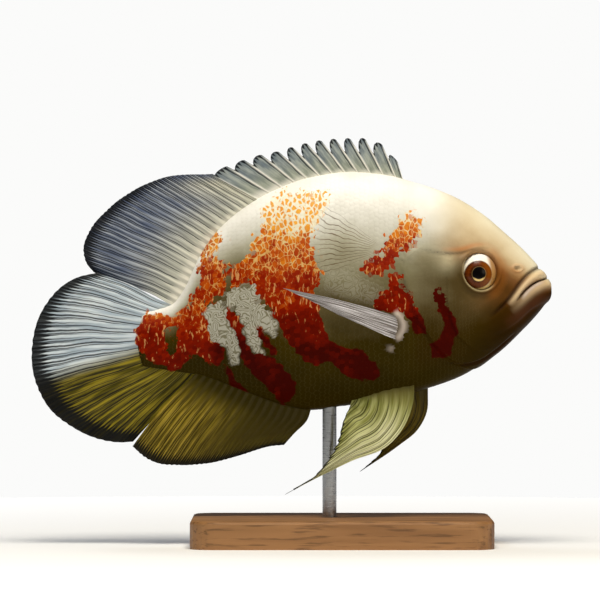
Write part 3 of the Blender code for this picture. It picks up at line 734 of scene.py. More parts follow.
def red_over(tree, colour, marks, place):
    """The red over a colour: loose cells in a cream net high up, one smooth deep red low down."""
    red, heat, _ = marks
    blotches = node(tree, NOISE, {"Vector": place, "Scale": 1 / RED_CLOUD, "Detail": 3.0})
    speckle = node(tree, NOISE, {"Vector": place, "Scale": 1 / SPECK, "Detail": 2.0})
    bent = bent_place(tree, place)
    spread = {"Vector": bent, "Scale": 1 / CELL, "Randomness": 0.85}
    cells = node(tree, CELLS, spread, out=None)
    between = node(tree, CELLS, spread, feature="DISTANCE_TO_EDGE")
    lot = node(tree, SPLIT, {0: cells["Color"]}, out=None)
    loose = node(tree, RANGE, {0: heat, 1: 0.3, 2: 0.42}, **SOFT)
    rounded = node(tree, MATH, {0: cells["Distance"], 1: -0.12, 2: between}, **TIMES_PLUS)
    warmth = node(tree, MATH, {0: blotches, 1: 0.16, 2: heat}, **TIMES_PLUS)
    uneven = node(tree, MATH, {0: lot[1], 1: loose}, **TIMES)
    warmth = node(tree, MATH, {0: uneven, 1: 0.14, 2: warmth}, **TIMES_PLUS)
    flame = node(tree, RAMP, {0: warmth}, stops=FLAME)
    net_colour = node(tree, RAMP, {0: heat}, stops=NET)
    clear = node(tree, RANGE, {0: heat, 1: 0.55, 2: 0.95, 4: 0.7})
    net_colour = node(tree, MIX, {0: clear, 6: net_colour, 7: colour}, **COLOUR)
    thin = node(tree, RANGE, {0: heat, 1: 0.34, 2: 0.6, 3: 0.12, 4: 0.01})
    wide = node(tree, RANGE, {0: heat, 1: 0.62, 2: 1.0, 3: 0.0, 4: 0.14}, **SOFT)
    net = node(tree, MATH, {0: node(tree, MATH, {0: rounded, 1: thin}), 1: wide}, **MINUS)
    net = node(tree, RANGE, {0: net, 1: 0.03, 2: -0.03}, **SOFT)
    flame = node(tree, MIX, {0: net, 6: flame, 7: net_colour}, **COLOUR)
    flecks = node(tree, STRETCH, {"Vector": bent, "Scale": (1.0, 1.0, 0.4)})
    flecks = node(tree, NOISE, {"Vector": flecks, "Scale": 1 / SPECK, "Detail": 1.0})
    some = node(tree, RANGE, {0: heat, 1: 0.2, 2: 0.34, 4: 0.75}, **SOFT)
    flecks = node(tree, MATH, {0: node(tree, RANGE, {0: flecks, 1: 0.62, 2: 0.67}, **SOFT), 1: some},
                  **TIMES)
    flame = node(tree, MIX, {0: flecks, 6: flame, 7: FLECK}, **COLOUR)
    in_cell = node(tree, MATH, {0: lot[0], 1: 2.6, 2: red}, **TIMES_PLUS)
    smooth_red = node(tree, MATH, {0: speckle, 1: 1.6, 2: red}, **TIMES_PLUS)
    both = node(tree, MIX, {0: loose, 2: smooth_red, 3: in_cell})
    shows = node(tree, RANGE, {0: both, 1: 0.8, 2: 1.5}, **SOFT)
    return node(tree, MIX, {0: shows, 6: colour, 7: flame}, **COLOUR)


print("red cells about", round(CELL / MM, 2), "mm wide")

# %% [markdown]
# Behind the main band thin folds of skin run back from the top of the gill cover like the
# ribs of a fan. They are painted as thin dark lines, the shade in their creases. Their angle
# round one place gives the lines, and a little noise bends them, so no line has to be modelled.

# %% Folds behind the gill cover
# Lines to a radian of the fan, and the size of the waves that bend them.
FOLD_LINES, FOLD_BEND = 11.5, 9.0 * MM


def painted_fold_shade(tree, colour, place):
    """Painted shade in the creases of thin folds of skin that fan back from the top of the gill cover."""
    parts = node(tree, SPLIT, {0: place}, out=None)
    mask = node(tree, STORED, out="Fac", attribute_name="folds")
    up = node(tree, MATH, {0: parts[2], 1: FOLDS_FROM[1] * MM}, **MINUS)
    back = node(tree, MATH, {0: FOLDS_FROM[0] * MM, 1: parts[0]}, **MINUS)
    angle = node(tree, MATH, {0: up, 1: back}, operation="ARCTAN2")
    noise = node(tree, NOISE, {"Vector": place, "Scale": 1 / FOLD_BEND, "Detail": 2.0})
    phase = node(tree, MATH, {0: noise, 1: 2.2, 2: node(tree, MATH, {0: angle, 1: FOLD_LINES}, **TIMES)},
                 **TIMES_PLUS)
    lines = node(tree, MATH, {0: phase, 1: 0.5}, operation="PINGPONG")
    lines = node(tree, RANGE, {0: lines, 1: 0.13, 2: 0.02, 4: 0.85}, **SOFT)
    lines = node(tree, MATH, {0: lines, 1: mask}, **TIMES)
    return node(tree, MIX, {0: lines, 6: colour, 7: "#5C4420"}, **COLOUR)


print("folds stand about", round(180 / math.pi / FOLD_LINES, 1), "degrees apart")

# %% [markdown]
# Skin is coloured from light to dark by height first: white back, grey flank, olive belly,
# the darkening partly the fish's own olive and partly painted shade of the light from above.
# The grey of the gill cover, the tan of the face, the silver loops and the red come over
# that. Low on the belly the slime hardly shines, which keeps the darks deep. The same
# material serves the scales, which add their own faint pale rims, so one function makes it,
# with a switch for the scales.

# %% Skin and scale material
# Sizes of the silver loops, the skin's soft clouds and its grain.
WORM_LOOP, SKIN_CLOUD, SKIN_GRAIN = 4.6 * MM, 9.0 * MM, 1.4 * MM
# From back to belly, darkening with the painted shade: the white to olive flank, the greyer gill cover and
# the tan face.
FLANK = ((0.07, "#FFFDF6"), (0.25, "#DEDCD0"), (0.4, "#B4B09A"), (0.55, "#807A5C"), (0.68, "#625636"),
         (0.84, "#3C3002"), (1.0, "#302600"))
COVER = ((0.07, "#EFE4C4"), (0.25, "#CCBC90"), (0.42, "#9A8E6C"), (0.54, "#746A4E"), (0.7, "#4A3C1E"),
         (0.84, "#362600"))
FACE = ((0.07, "#ECDCA4"), (0.3, "#DCBC7E"), (0.44, "#B07C3A"), (0.58, "#784414"), (0.76, "#3E2400"),
        (1.0, "#2A1A00"))


def fish_skin(name, scaly):
    """Wet living skin with the red tiger markings; scaly adds the rims of the scales."""
    made, tree, shader = finish_material(name)
    marks = node(tree, SPLIT, {0: node(tree, STORED, out="Vector", attribute_name="marks")}, out=None)
    hues = node(tree, SPLIT, {0: node(tree, STORED, out="Vector", attribute_name="tones")}, out=None)
    place = node(tree, PLACE, out="Object")
    worm = marks[2]
    shade, face, grey = hues
    blotches = node(tree, NOISE, {"Vector": place, "Scale": 1 / SKIN_CLOUD, "Detail": 4.0})
    # depth is the painted shade, with soft clouds of the skin's own tone over it.
    depth = node(tree, MATH, {0: blotches, 1: 0.14, 2: shade}, **TIMES_PLUS)
    pale, cover, tan = (node(tree, RAMP, {0: depth}, stops=stops) for stops in (FLANK, COVER, FACE))
    grey_share = node(tree, MATH, {0: grey, 1: 0.8}, **TIMES)
    colour = node(tree, MIX, {0: grey_share, 6: pale, 7: cover}, **COLOUR)
    colour = node(tree, MIX, {0: face, 6: colour, 7: tan}, **COLOUR)
    loops = node(tree, NOISE, {"Vector": place, "Scale": 1 / WORM_LOOP, "Detail": 0.6, "Distortion": 0.5})
    loops = node(tree, MATH, {0: node(tree, MATH, {0: loops, 1: 9.0}, **TIMES), 1: 0.5},
                 operation="PINGPONG")
    loops = node(tree, RANGE, {0: loops, 1: 0.1, 2: 0.26}, **SOFT)
    worm_colour = node(tree, MIX, {0: loops, 6: "#8A866E", 7: "#C4C2B2"}, **COLOUR)
    worm_share = node(tree, MATH, {0: worm, 1: 0.8}, **TIMES)
    colour = node(tree, MIX, {0: worm_share, 6: colour, 7: worm_colour}, **COLOUR)
    colour = painted_fold_shade(tree, colour, place)
    if scaly:
        local = node(tree, STORED, out="Vector", attribute_name="scale")
        rim = node(tree, VECTORS, {0: local}, out="Value", operation="LENGTH")
        rim = node(tree, RANGE, {0: rim, 1: 0.7, 2: 1.0, 4: 0.065}, **SOFT)
        colour = node(tree, MIX, {0: rim, 6: colour, 7: "#9A9270"}, **COLOUR)
    colour = red_over(tree, colour, marks, place)
    if not scaly:
        lips = node(tree, SPLIT, {0: node(tree, STORED, out="Vector", attribute_name="lips")}, out=None)
        folds = node(tree, SPLIT, {0: node(tree, STORED, out="Vector", attribute_name="creases")}, out=None)
        # The dark #2A1404, laid last, is painted shade in the creases, the nostril and under the eye.
        for amount, share, tone in (
            (folds[2], 0.42, "#C06A1C"), (folds[1], 0.6, "#E6D3A0"), (lips[0], 0.85, "#E8CCA0"),
            (lips[1], 0.75, "#54301C"), (lips[2], 0.75, "#D6C8BC"), (folds[0], 0.8, "#2A1404"),
        ):
            share = node(tree, MATH, {0: amount, 1: share}, **TIMES)
            colour = node(tree, MIX, {0: share, 6: colour, 7: tone}, **COLOUR)
    shine = node(tree, RANGE, {0: shade, 1: 0.25, 2: 0.65, 3: 0.22, 4: 0.02}, **SOFT)
    grain = node(tree, NOISE, {"Vector": place, "Scale": 1 / SKIN_GRAIN, "Detail": 3.0})
    pitted = node(tree, BUMP, {"Strength": 0.25, "Distance": 0.3 * MM, "Height": grain})
    fill(tree, shader, {"Base Color": colour, "Specular IOR Level": shine, "Roughness": 0.42,
                        "Normal": pitted})
    return made


print("worm loops about", round(WORM_LOOP / MM, 2), "mm across")

# %% [markdown]
# The skin takes the place of six solids at once: head, jaw, both gill covers, trunk and
# tail stalk. Real skin shows no seams between them, and one closed piece has none. The sign
# of its volume tells whether the faces look outward.

# %% Lay the skin over the six solids
def flip_wrong_way(mesh):
    """Turns the faces outward when a shape was laid down as its mirror image."""
    form = bmesh.new()
    form.from_mesh(mesh)
    if form.calc_volume(signed=True) < 0:
        bmesh.ops.reverse_faces(form, faces=form.faces[:])
        form.to_mesh(mesh)
    form.free()


# Smooth wet skin with a soft shine: white above, olive below, red in its blotches.
skin = build_skin(fish_skin("wet_skin", False))
flip_wrong_way(skin.data)
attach(skin, "root")
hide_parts("head", "lower_jaw", "gill_cover_right", "gill_cover_left", "trunk", "tail_stalk")
print("skin faces", len(skin.data.polygons))

# %% [markdown]
# An oscar's scales are small thin plates set like roof tiles, their free edges towards
# the tail. One scale is a flattened closed sphere of a few dozen faces. It is repeated
# over a staggered lattice on the skin, each point laid on the skin itself, with the root
# sunk and the tip raised over the next row.

# %% Where the scales are rooted
SCALE_SIZES = ((-76, 1.7), (-50, 2.0), (-25, 2.45), (55, 2.45), (68, 1.9), (97, 1.5))
SCALES_START, SCALES_END = -75.0, 97
ROOT_SINK, TIP_RISE, SCALE_THICK = 0.17, 0.11, 0.08
# Lower edge of the bare forehead by x, and front edge of the scaled cheek by height.
FOREHEAD = ((56, 64, 74, 97), (200, 168, 149, 128))
CHEEK_FRONT = ((84, 100, 116, 128), (84, 90, 95, 95))
skin_x = flesh_points[:, 0, 0]


def ring_at(x):
    """Which ring of the skin lies at x, as a number that may fall between two."""
    return np.interp(-x, -skin_x, np.arange(RINGS + 1.0))


def steps_at(ring):
    """Length of a step round the skin at a ring, above and below the widest height."""
    return [np.interp(ring, np.arange(RINGS + 1.0), flesh_steps[:, part]) for part in (0, 1)]


def on_skin(x, arc, side):
    """Points, normals and shares of ring and turn, at x and an arc above the widest height."""
    ring = ring_at(x)
    upper, lower = steps_at(ring)
    steps = arc / np.where(arc > 0, upper, lower)
    turn = (AROUND // 2 - steps if side < 0 else steps) % AROUND
    low_ring = np.clip(ring.astype(int), 0, RINGS - 1)
    low_turn = turn.astype(int) % AROUND
    a, b = (ring - low_ring)[..., None], (turn - np.floor(turn))[..., None]
    next_turn = (low_turn + 1) % AROUND
    found = []
    for table in (skin_points, skin_normals):
        near = table[low_ring, low_turn] * (1 - b) + table[low_ring, next_turn] * b
        far = table[low_ring + 1, low_turn] * (1 - b) + table[low_ring + 1, next_turn] * b
        found.append(near * (1 - a) + far * a)
    return found[0], found[1], ring / RINGS, turn / AROUND


def scale_roots(side):
    """Where each scale of one flank is rooted: x, arc distance, and size."""
    roots = []
    x, column = SCALES_START, 0
    while x < SCALES_END:
        size = float(np.interp(x, *zip(*SCALE_SIZES)))
        up, down = (length * AROUND / 4 for length in steps_at(ring_at(x)))
        pitch = size * 0.98
        for row in range(-int(down / pitch) - 1, int(up / pitch) + 2):
            arc = (row + 0.5 * (column % 2)) * pitch
            if -down + 0.6 < arc < up - 0.6:
                roots.append((x, arc, size))
        x += size
        column += 1
    roots = np.array(roots)
    place, _, _, _ = on_skin(roots[:, 0], roots[:, 1], side)
    eye = to_eye(place)
    clear_of_eye = np.hypot(eye[:, 0] / EYE_RADII[0], eye[:, 2] / EYE_RADII[2]) > 1.75
    px, pz = place[:, 0], place[:, 2]
    forehead = pz > np.interp(px, *FOREHEAD)
    lips = px > np.interp(pz, *CHEEK_FRONT)
    clear_of_fin = (along_path(px, pz, FIN_MOUND)[0] > 3.4) & (along_path(px, pz, FIN_LUMP)[0] > 2.6)
    return roots[clear_of_eye & ~forehead & ~lips & clear_of_fin]


print("roots on the right flank:", len(scale_roots(-1)))

# %% [markdown]
# An array modifier can't follow a body that narrows both ways, so the one scale is laid
# down by numpy on all its roots at once. Each is turned and sized a little by chance, from
# a seed. High on the flank each also takes the colour of its own root, which gives the red
# its ragged edge there.

# %% Build the coat of scales
# Half length, half width and shift to the tail, as shares of a scale's size; then how far
# chance sizes, leans and moves it, and how it varies the red.
SCALE_LONG, SCALE_WIDE, SCALE_FORWARD = 0.98, 0.66, 0.3
SIZE_CHANCE, LEAN_CHANCE, PLACE_CHANCE, RAGGED_EDGE, RAGGED_HEAT = 0.07, 0.12, 0.05, 1.1, 0.08


def one_scale():
    """Points and faces of the plain scale: a small closed sphere, flattened later."""
    form = bmesh.new()
    bmesh.ops.create_uvsphere(form, u_segments=10, v_segments=4, radius=1.0)
    form.verts.ensure_lookup_table()
    form.verts.index_update()
    shape = np.array([v.co for v in form.verts])
    faces = [[v.index for v in f.verts] for f in form.faces]
    form.free()
    return shape, faces


def build_coat(name, roots, side, material, seed):
    """One patch of the coat: a scale on every root."""
    shape, faces = one_scale()
    rng = np.random.default_rng(seed)
    count = len(roots)
    jitter = rng.uniform(-1, 1, (count, 4)) * 1.6
    size = roots[:, 2:3] * (1 + SIZE_CHANCE * jitter[:, :1])
    tailward = (shape[None, :, 0] * SCALE_LONG + SCALE_FORWARD) * size
    across = shape[None, :, 1] * size * SCALE_WIDE
    lean = LEAN_CHANCE * jitter[:, 1:2]
    along = tailward + across * lean
    across = across - tailward * lean
    x = roots[:, :1] + PLACE_CHANCE * size * jitter[:, 2:3] - along
    arc = roots[:, 1:2] + PLACE_CHANCE * size * jitter[:, 3:4] + across
    place, normal, _, _ = on_skin(x, arc, side)
    lift = -ROOT_SINK + (ROOT_SINK + TIP_RISE) * (shape[None, :, 0] + 1) / 2
    calm = np.interp(roots[:, :1], (52, 66), (1.0, 0.45)) * np.interp(roots[:, :1], (-70, -40), (0.7, 1.0))
    lift = lift * calm + shape[None, :, 2] * SCALE_THICK * calm
    points = place + normal * lift[..., None]
    mesh = bpy.data.meshes.new(name)
    listed = []
    for i in range(count):
        base = i * len(shape)
        listed.extend([[base + v for v in face] for face in faces])
    mesh.from_pydata((points.reshape(-1, 3) * MM).tolist(), [], listed)
    mesh.shade_smooth()
    ends = np.zeros(len(mesh.edges) * 2, int)
    mesh.edges.foreach_get("vertices", ends)
    on_rim = np.abs(np.tile(shape[:, 2], count)[ends.reshape(-1, 2)]).max(axis=1) < 0.01
    mesh.attributes.new("sharp_edge", "BOOLEAN", "EDGE").data.foreach_set("value", on_rim)
    mesh.materials.append(material)
    root_place, _, ring_share, turn_share = on_skin(roots[:, 0] - 0.3 * roots[:, 2], roots[:, 1], side)
    rx, rz = (np.repeat(root_place[:, i], len(shape)) for i in (0, 2))
    vx, vy, vz = points.reshape(-1, 3).T
    own = smooth_step(rz, 112, 122)
    red, heat, worm = markings(vx + (rx - vx) * own, vy, vz + (rz - vz) * own)
    ragged = np.repeat(rng.uniform(-1, 1, count), len(shape))
    heat = np.clip(heat + ragged * RAGGED_HEAT, 0, 1)
    named_values(mesh, "marks", (red + ragged * RAGGED_EDGE * own, heat, worm))
    named_values(mesh, "tones", tones(vx, vz))
    one_value(mesh, "folds", fold_mask(vx, vz))
    named_values(mesh, "scale", (np.tile(shape[:, 0], count), np.tile(shape[:, 1], count)))
    corners, _ = corners_of(mesh)
    middle = np.stack((np.repeat(ring_share, len(shape)), np.repeat(turn_share, len(shape))), axis=1)
    patch = np.tile(shape[:, :2], (count, 1)) * 0.0015
    bake_map(mesh, np.clip(middle + patch, 0, 1)[corners])
    flip_wrong_way(mesh)
    made = bpy.data.objects.new(name, mesh)
    bpy.context.scene.collection.objects.link(made)
    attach(made, "root")
    return made


print("one scale has", len(one_scale()[1]), "faces")

# %% [markdown]
# Each flank gets two patches, in front of and behind the middle, because one piece should
# stay under two hundred thousand triangles.

# %% Lay the scales on both flanks
PATCH_BORDER = 5
# The same wet skin on the scales, each with a faint pale rim.
scale_finish = fish_skin("wet_scales", True)
for side, flank in ((-1, "right"), (1, "left")):
    roots = scale_roots(side)
    for part, chosen in (("front", roots[:, 0] > PATCH_BORDER), ("rear", roots[:, 0] <= PATCH_BORDER)):
        coat = build_coat(f"scales_{flank}_{part}", roots[chosen], side, scale_finish, 11 + side)
        print(coat.name, int(chosen.sum()), "scales,", len(coat.data.polygons), "faces")

# %% [markdown]
# Each eye is a flattened glossy ball in its socket: a white ball, a wide brown iris with
# fine rays, a thin gold ring, widened and brightened at the bottom as a painted reflection,
# and a black pupil. The shader reads each point's place in the eye's own directions, so
# both eyes look outward and a little up.

# %% Eyes
IRIS_MIDDLE = (-1.7, -1.9)
PUPIL, IRIS = 3.35, 6.7
# Browns from the pupil's edge outwards, and the ball from its shaded foot to its white top.
IRIS_BROWNS = ((0.0, "#1E0800"), (0.22, "#3A1400"), (0.5, "#602800"), (0.8, "#4C1C00"), (1.0, "#300E00"))
BALL_WHITES = ((0.0, "#C0A060"), (0.35, "#E6D4A2"), (0.7, "#F4EDDA"), (1.0, "#FFFDF6"))


def eye_finish():
    """Living eye under a clear cornea: one wet glossy ball, white above and amber in front."""
    made, tree, shader = finish_material("wet_eye")
    gaze = node(tree, SPLIT, {0: node(tree, STORED, out="Vector", attribute_name="gaze")}, out=None)
    right = node(tree, MATH, {0: gaze[0], 1: IRIS_MIDDLE[0]}, **MINUS)
    up = node(tree, MATH, {0: gaze[2], 1: IRIS_MIDDLE[1]}, **MINUS)
    flat = node(tree, JOIN, {0: right, 1: up})
    reach = node(tree, VECTORS, {0: flat}, out="Value", operation="LENGTH")
    turn = node(tree, MATH, {0: up, 1: right}, operation="ARCTAN2")
    rays = node(tree, JOIN, {0: node(tree, MATH, {0: turn, 1: 6.0}, **TIMES),
                             1: node(tree, MATH, {0: reach, 1: 0.35}, **TIMES)})
    rays = node(tree, NOISE, {"Vector": rays, "Scale": 1.6, "Detail": 3.0})
    rays = node(tree, RANGE, {0: rays, 1: 0.4, 2: 0.7, 4: 0.3}, **SOFT)
    across = node(tree, RANGE, {0: reach, 1: PUPIL, 2: IRIS})
    iris = node(tree, RAMP, {0: across}, stops=IRIS_BROWNS)
    iris = node(tree, MIX, {0: rays, 6: iris, 7: "#804208"}, **COLOUR)
    sunny = node(tree, RANGE, {0: right, 1: -2.0, 2: 6.0, 4: 0.35}, **SOFT)
    iris = node(tree, MIX, {0: sunny, 6: iris, 7: "#B46410"}, **COLOUR)
    # The gold ring is the iris's own; its wide bright crescent at the bottom is a painted reflection.
    down = node(tree, MATH, {0: up, 1: reach}, operation="DIVIDE")
    down = node(tree, RANGE, {0: down, 1: -0.35, 2: -0.95}, **SOFT)
    start = node(tree, MATH, {0: down, 1: -0.55, 2: PUPIL}, **TIMES_PLUS)
    past = node(tree, MATH, {0: reach, 1: start}, **MINUS)
    ring = node(tree, RANGE, {0: past, 1: -0.1, 2: 0.12}, **SOFT)
    ended = node(tree, MATH, {0: down, 1: -0.75, 2: past}, **TIMES_PLUS)
    ended = node(tree, RANGE, {0: ended, 1: 0.3, 2: 0.12}, **SOFT)
    gold_ring_and_glint = node(tree, MATH, {0: ring, 1: ended}, **TIMES)
    gold_ring_and_glint = node(tree, MATH, {0: gold_ring_and_glint, 1: node(tree, RANGE, {0: down, 3: 0.22, 4: 1.0})}, **TIMES)
    pupil = node(tree, RANGE, {0: reach, 1: PUPIL + 0.12, 2: PUPIL - 0.1}, **SOFT)
    colour = node(tree, MIX, {0: pupil, 6: iris, 7: "#040201"}, **COLOUR)
    colour = node(tree, MIX, {0: gold_ring_and_glint, 6: colour, 7: "#EBCB82"}, **COLOUR)
    white = node(tree, RANGE, {0: gaze[2], 1: -9.0, 2: 7.0})
    white = node(tree, RAMP, {0: white}, stops=BALL_WHITES)
    front = node(tree, RANGE, {0: gaze[0], 1: 2.6, 2: 5.6, 4: 0.92}, **SOFT)
    white = node(tree, MIX, {0: front, 6: white, 7: "#B4803E"}, **COLOUR)
    outside = node(tree, RANGE, {0: reach, 1: IRIS - 0.25, 2: IRIS + 0.35}, **SOFT)
    colour = node(tree, MIX, {0: outside, 6: colour, 7: white}, **COLOUR)
    fill(tree, shader, {"Base Color": colour, "Roughness": 0.3, "Specular IOR Level": 0.12,
                        "Coat Weight": 0.12, "Coat Roughness": 0.05})
    return made


print("iris", round(2 * IRIS, 1), "mm and pupil", round(2 * PUPIL, 1), "mm across")

# %% [markdown]
# The ball itself is one sphere from bmesh, drawn out to the three radii of the eye and
# turned with it. Its unwrap is two flat discs, front and back, so that the iris bakes with
# the most room.

# %% Build the eyes
def build_eye(name, side, material):
    """One eyeball in the place and size of its solid."""
    form = bmesh.new()
    bmesh.ops.create_uvsphere(form, u_segments=72, v_segments=48, radius=1.0)
    eye = piece_from(form, name, material)
    mesh = eye.data
    ball = points_of(mesh)
    local = ball[:, (0, 2, 1)] * np.array(EYE_RADII)
    mesh.vertices.foreach_set("co", (from_eye(local, float(side)) * MM).ravel())
    named_values(mesh, "gaze", local.T)
    corners, _ = corners_of(mesh)
    front = (ball[:, 2] > -0.001)[corners]
    flat = ball[corners][:, :2] * 0.24
    bake_map(mesh, np.where(front[:, None], flat + (0.25, 0.5), flat + (0.75, 0.5)))
    flip_wrong_way(mesh)
    return eye


eye_material = eye_finish()
for side, flank in ((-1, "right"), (1, "left")):
    eye = build_eye(f"eyeball_{flank}", side, eye_material)
    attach(eye, "root")
    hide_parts(f"eye_{flank}")
    print(eye.name, len(eye.data.polygons), "faces")

# %% [markdown]
# A fin is a thin skin stretched over rays. Each is a grid from bmesh given two sides,
# stretched over four border curves, the same as its solid's. Rays stand up from both
# sides and split towards the margin; the number of the ray at each place is stored, so
# that the material can draw the dark lines between rays.

# %% Measures of the dorsal fin
# Lengths in millimetres. LOBE_FALL pairs a share of the space behind a spine with a share
# of the fall of the lobe's edge. LOBE_DEPTH pairs the number of a spine with that fall, as a
# share of the spine's length.
SPINES = 13
FIRST_SPINE_FOOT, SECOND_SPINE_FOOT, SPINE_SPACING = 56.5, 53.3, 6.2
SPINE_LENGTH, SPINE_LENGTHS_IN_FRONT = 20.7, (9.0, 18.3)
SPINE_GROWTH_FROM, SPINE_GROWTH = 8, 1.9
FIRST_LEAN, LEAN_RANGE = math.radians(22), math.radians(45)
LOBE_FALL = ((0.0, 0.08), (0.12, 0.0), (0.3, 0.03), (0.55, 0.24), (0.78, 0.6), (0.94, 1.0), (1.0, 0.08))
LOBE_DEPTH = ((0, 0.42), (3, 0.38), (7, 0.32), (10, 0.16), (11, 0.08))
ROOT_DEPTH = 3.0
longest = SPINE_LENGTH + SPINE_GROWTH * (SPINES - 1 - SPINE_GROWTH_FROM)
print(SPINES, "spines, the longest about", round(longest, 1), "mm")

# %% [markdown]
# A surface stretched over four curves is what a sailmaker calls a panel. The formula below
# blends the two pairs of facing borders and takes away the corners that were counted
# twice, so the fin meets every border exactly.

# %% Build a fin from its borders
def patch_points(curves, u, v):
    """Points of the surface that fills four border curves: root, edge, front and rear."""
    root, edge, front, rear = curves
    u, v = u[:, None], v[:, None]
    across = (1 - v) * root(u[:, 0]) + v * edge(u[:, 0]) + (1 - u) * front(v[:, 0]) + u * rear(v[:, 0])
    ends = np.array([0.0, 1.0])
    (r0, r1), (e0, e1) = root(ends), edge(ends)
    return across - (1 - v) * ((1 - u) * r0 + u * r1) - v * ((1 - u) * e0 + u * e1)


def border(*points):
    """One border of a fin as a function from 0 to 1."""
    return lambda t: curve_through(points, t)


def build_fin(name, curves, columns, rows, thickness, rays, tint, material,
              wave=0.0, frays=0.0, sharp=1.5, phase=0.0, uneven=0.0):
    """A fin of rays and membrane. thickness is at root and edge; tint gives its stored tones.

    wave bends the film, frays nicks its margin, sharp narrows the ridge of a ray, phase moves
    the dark lines sideways, and uneven spaces the rays unequally.
    """
    form = bmesh.new()
    bmesh.ops.create_grid(form, x_segments=columns, y_segments=rows, size=1.0)
    bmesh.ops.solidify(form, geom=form.faces[:], thickness=0.2)
    fin = piece_from(form, name, material)
    mesh = fin.data
    flat = points_of(mesh)
    u = np.clip((flat[:, 0] + 1) / 2, 0, 1)
    v = np.clip((flat[:, 1] + 1) / 2, 0, 1)
    side = np.sign(flat[:, 2] - flat[:, 2].mean())
    number = u * rays + uneven * np.sin(u * 9)
    ray = 0.5 + 0.5 * np.cos(math.tau * number)
    split = 0.5 + 0.5 * np.cos(2 * math.tau * number)
    reach = v * (1 - frays * v ** 6 * (1 - split) * (0.6 + 0.4 * np.sin(number * 2.3)))
    here = patch_points(curves, u, reach)
    small = 0.004
    by_u = patch_points(curves, np.minimum(1, u + small), reach)
    by_u = by_u - patch_points(curves, np.maximum(0, u - small), reach)
    by_v = patch_points(curves, u, np.minimum(1, reach + small))
    by_v = by_v - patch_points(curves, u, np.maximum(0, reach - small))
    normal = np.cross(by_u, by_v)
    normal /= np.maximum(np.linalg.norm(normal, axis=1, keepdims=True), 1e-9)
    root_thick, edge_thick = thickness
    ridge = ray ** sharp * (1 - smooth_step(v, 0.45, 0.8)) + split ** 1.5 * smooth_step(v, 0.45, 0.8)
    thick = root_thick + (edge_thick - root_thick) * v ** 0.4
    thick = thick * (0.62 + 0.38 * ridge)
    ripple_out = wave * np.sin(math.tau * number / 3.2 + 2.2 * v) * smooth_step(v, 0.25, 1.0)
    here = here + normal * (side * np.maximum(thick, 0.5) / 2 + ripple_out)[:, None]
    mesh.vertices.foreach_set("co", (here * MM).ravel())
    named_values(mesh, "ray", (number + phase, v))
    named_values(mesh, "tint", tint(u, v, here))
    red, heat, worm = markings(*here.T)
    named_values(mesh, "marks", (np.minimum(red, 6 * (0.34 - v) / 0.34), heat, worm))
    corners, faces = corners_of(mesh)
    mean_side = np.zeros(len(mesh.polygons))
    np.add.at(mean_side, faces, side[corners])
    upper = (mean_side[faces] > -0.5)
    bake_map(mesh, np.stack((u[corners], v[corners] * 0.49 + np.where(upper, 0.505, 0.005)), axis=1))
    flip_wrong_way(mesh)
    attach(fin, "root")
    return fin


middle = patch_points([border((0, 0, 0), (1, 0, 0)), border((0, 0, 1), (1, 0, 1)),
                       border((0, 0, 0), (0, 0, 1)), border((1, 0, 0), (1, 0, 1))],
                      np.array([0.5]), np.array([0.5]))
print("the middle of a square panel is at", middle[0].tolist())

# %% [markdown]
# The spiny part of the dorsal fin is measured spine by spine: where each stands on the
# back, how far it leans and how long it is. The skin between two spines falls away behind
# the front one in a rounded lobe.

# %% Spines and lobes of the dorsal fin
def spine_feet(number):
    """Where the spines stand, a little under the skin of the back."""
    x = np.where(number < 1, FIRST_SPINE_FOOT + (SECOND_SPINE_FOOT - FIRST_SPINE_FOOT) * number,
                 SECOND_SPINE_FOOT - SPINE_SPACING * (number - 1))
    return np.stack((x, 0 * x, outline_value(BACK_LINE, x) - ROOT_DEPTH), axis=-1)


def spine_tips(number):
    """The tips of the spines, which lie lower and grow longer towards the tail."""
    lean = FIRST_LEAN + LEAN_RANGE * (number / (SPINES - 1)) ** 0.95
    length = SPINE_LENGTH + SPINE_GROWTH * np.maximum(0.0, number - SPINE_GROWTH_FROM)
    in_front = np.interp(number, (0, 1, 2), SPINE_LENGTHS_IN_FRONT + (SPINE_LENGTH,))
    length = np.where(number < 2, in_front, length)
    up = np.stack((-np.sin(lean), 0 * lean, np.cos(lean)), axis=-1)
    return spine_feet(number) + (0, 0, ROOT_DEPTH) + length[..., None] * up


def along_spine(number, v):
    """Points on one spine, from its foot at 0 to its tip at 1."""
    return spine_feet(0 * v + number) * (1 - v)[:, None] + spine_tips(0 * v + number) * v[:, None]


def lobed_edge(u):
    """Outer edge of the spiny part: a lobe of skin behind each spine."""
    place = u * (SPINES - 1)
    spine = np.minimum(np.floor(place + 1e-6), SPINES - 2)
    between = place - spine
    reach = 1 - (np.interp(between, *zip(*LOBE_FALL)) * np.interp(spine, *zip(*LOBE_DEPTH)))[..., None]
    between = between[..., None]
    foot = spine_feet(spine) * (1 - between) + spine_feet(spine + 1) * between
    tip = spine_tips(spine) * (1 - between) + spine_tips(spine + 1) * between
    return foot + (tip - foot) * reach


print("first spine stands at", spine_feet(np.array(0.0)).round(1).tolist(), "mm")

# %% [markdown]
# The other fins need only their borders: root, edge, front and rear, in millimetres. They
# are the borders of the solids, read off the side view; how far a fin stands out
# sideways is the species' usual pose.

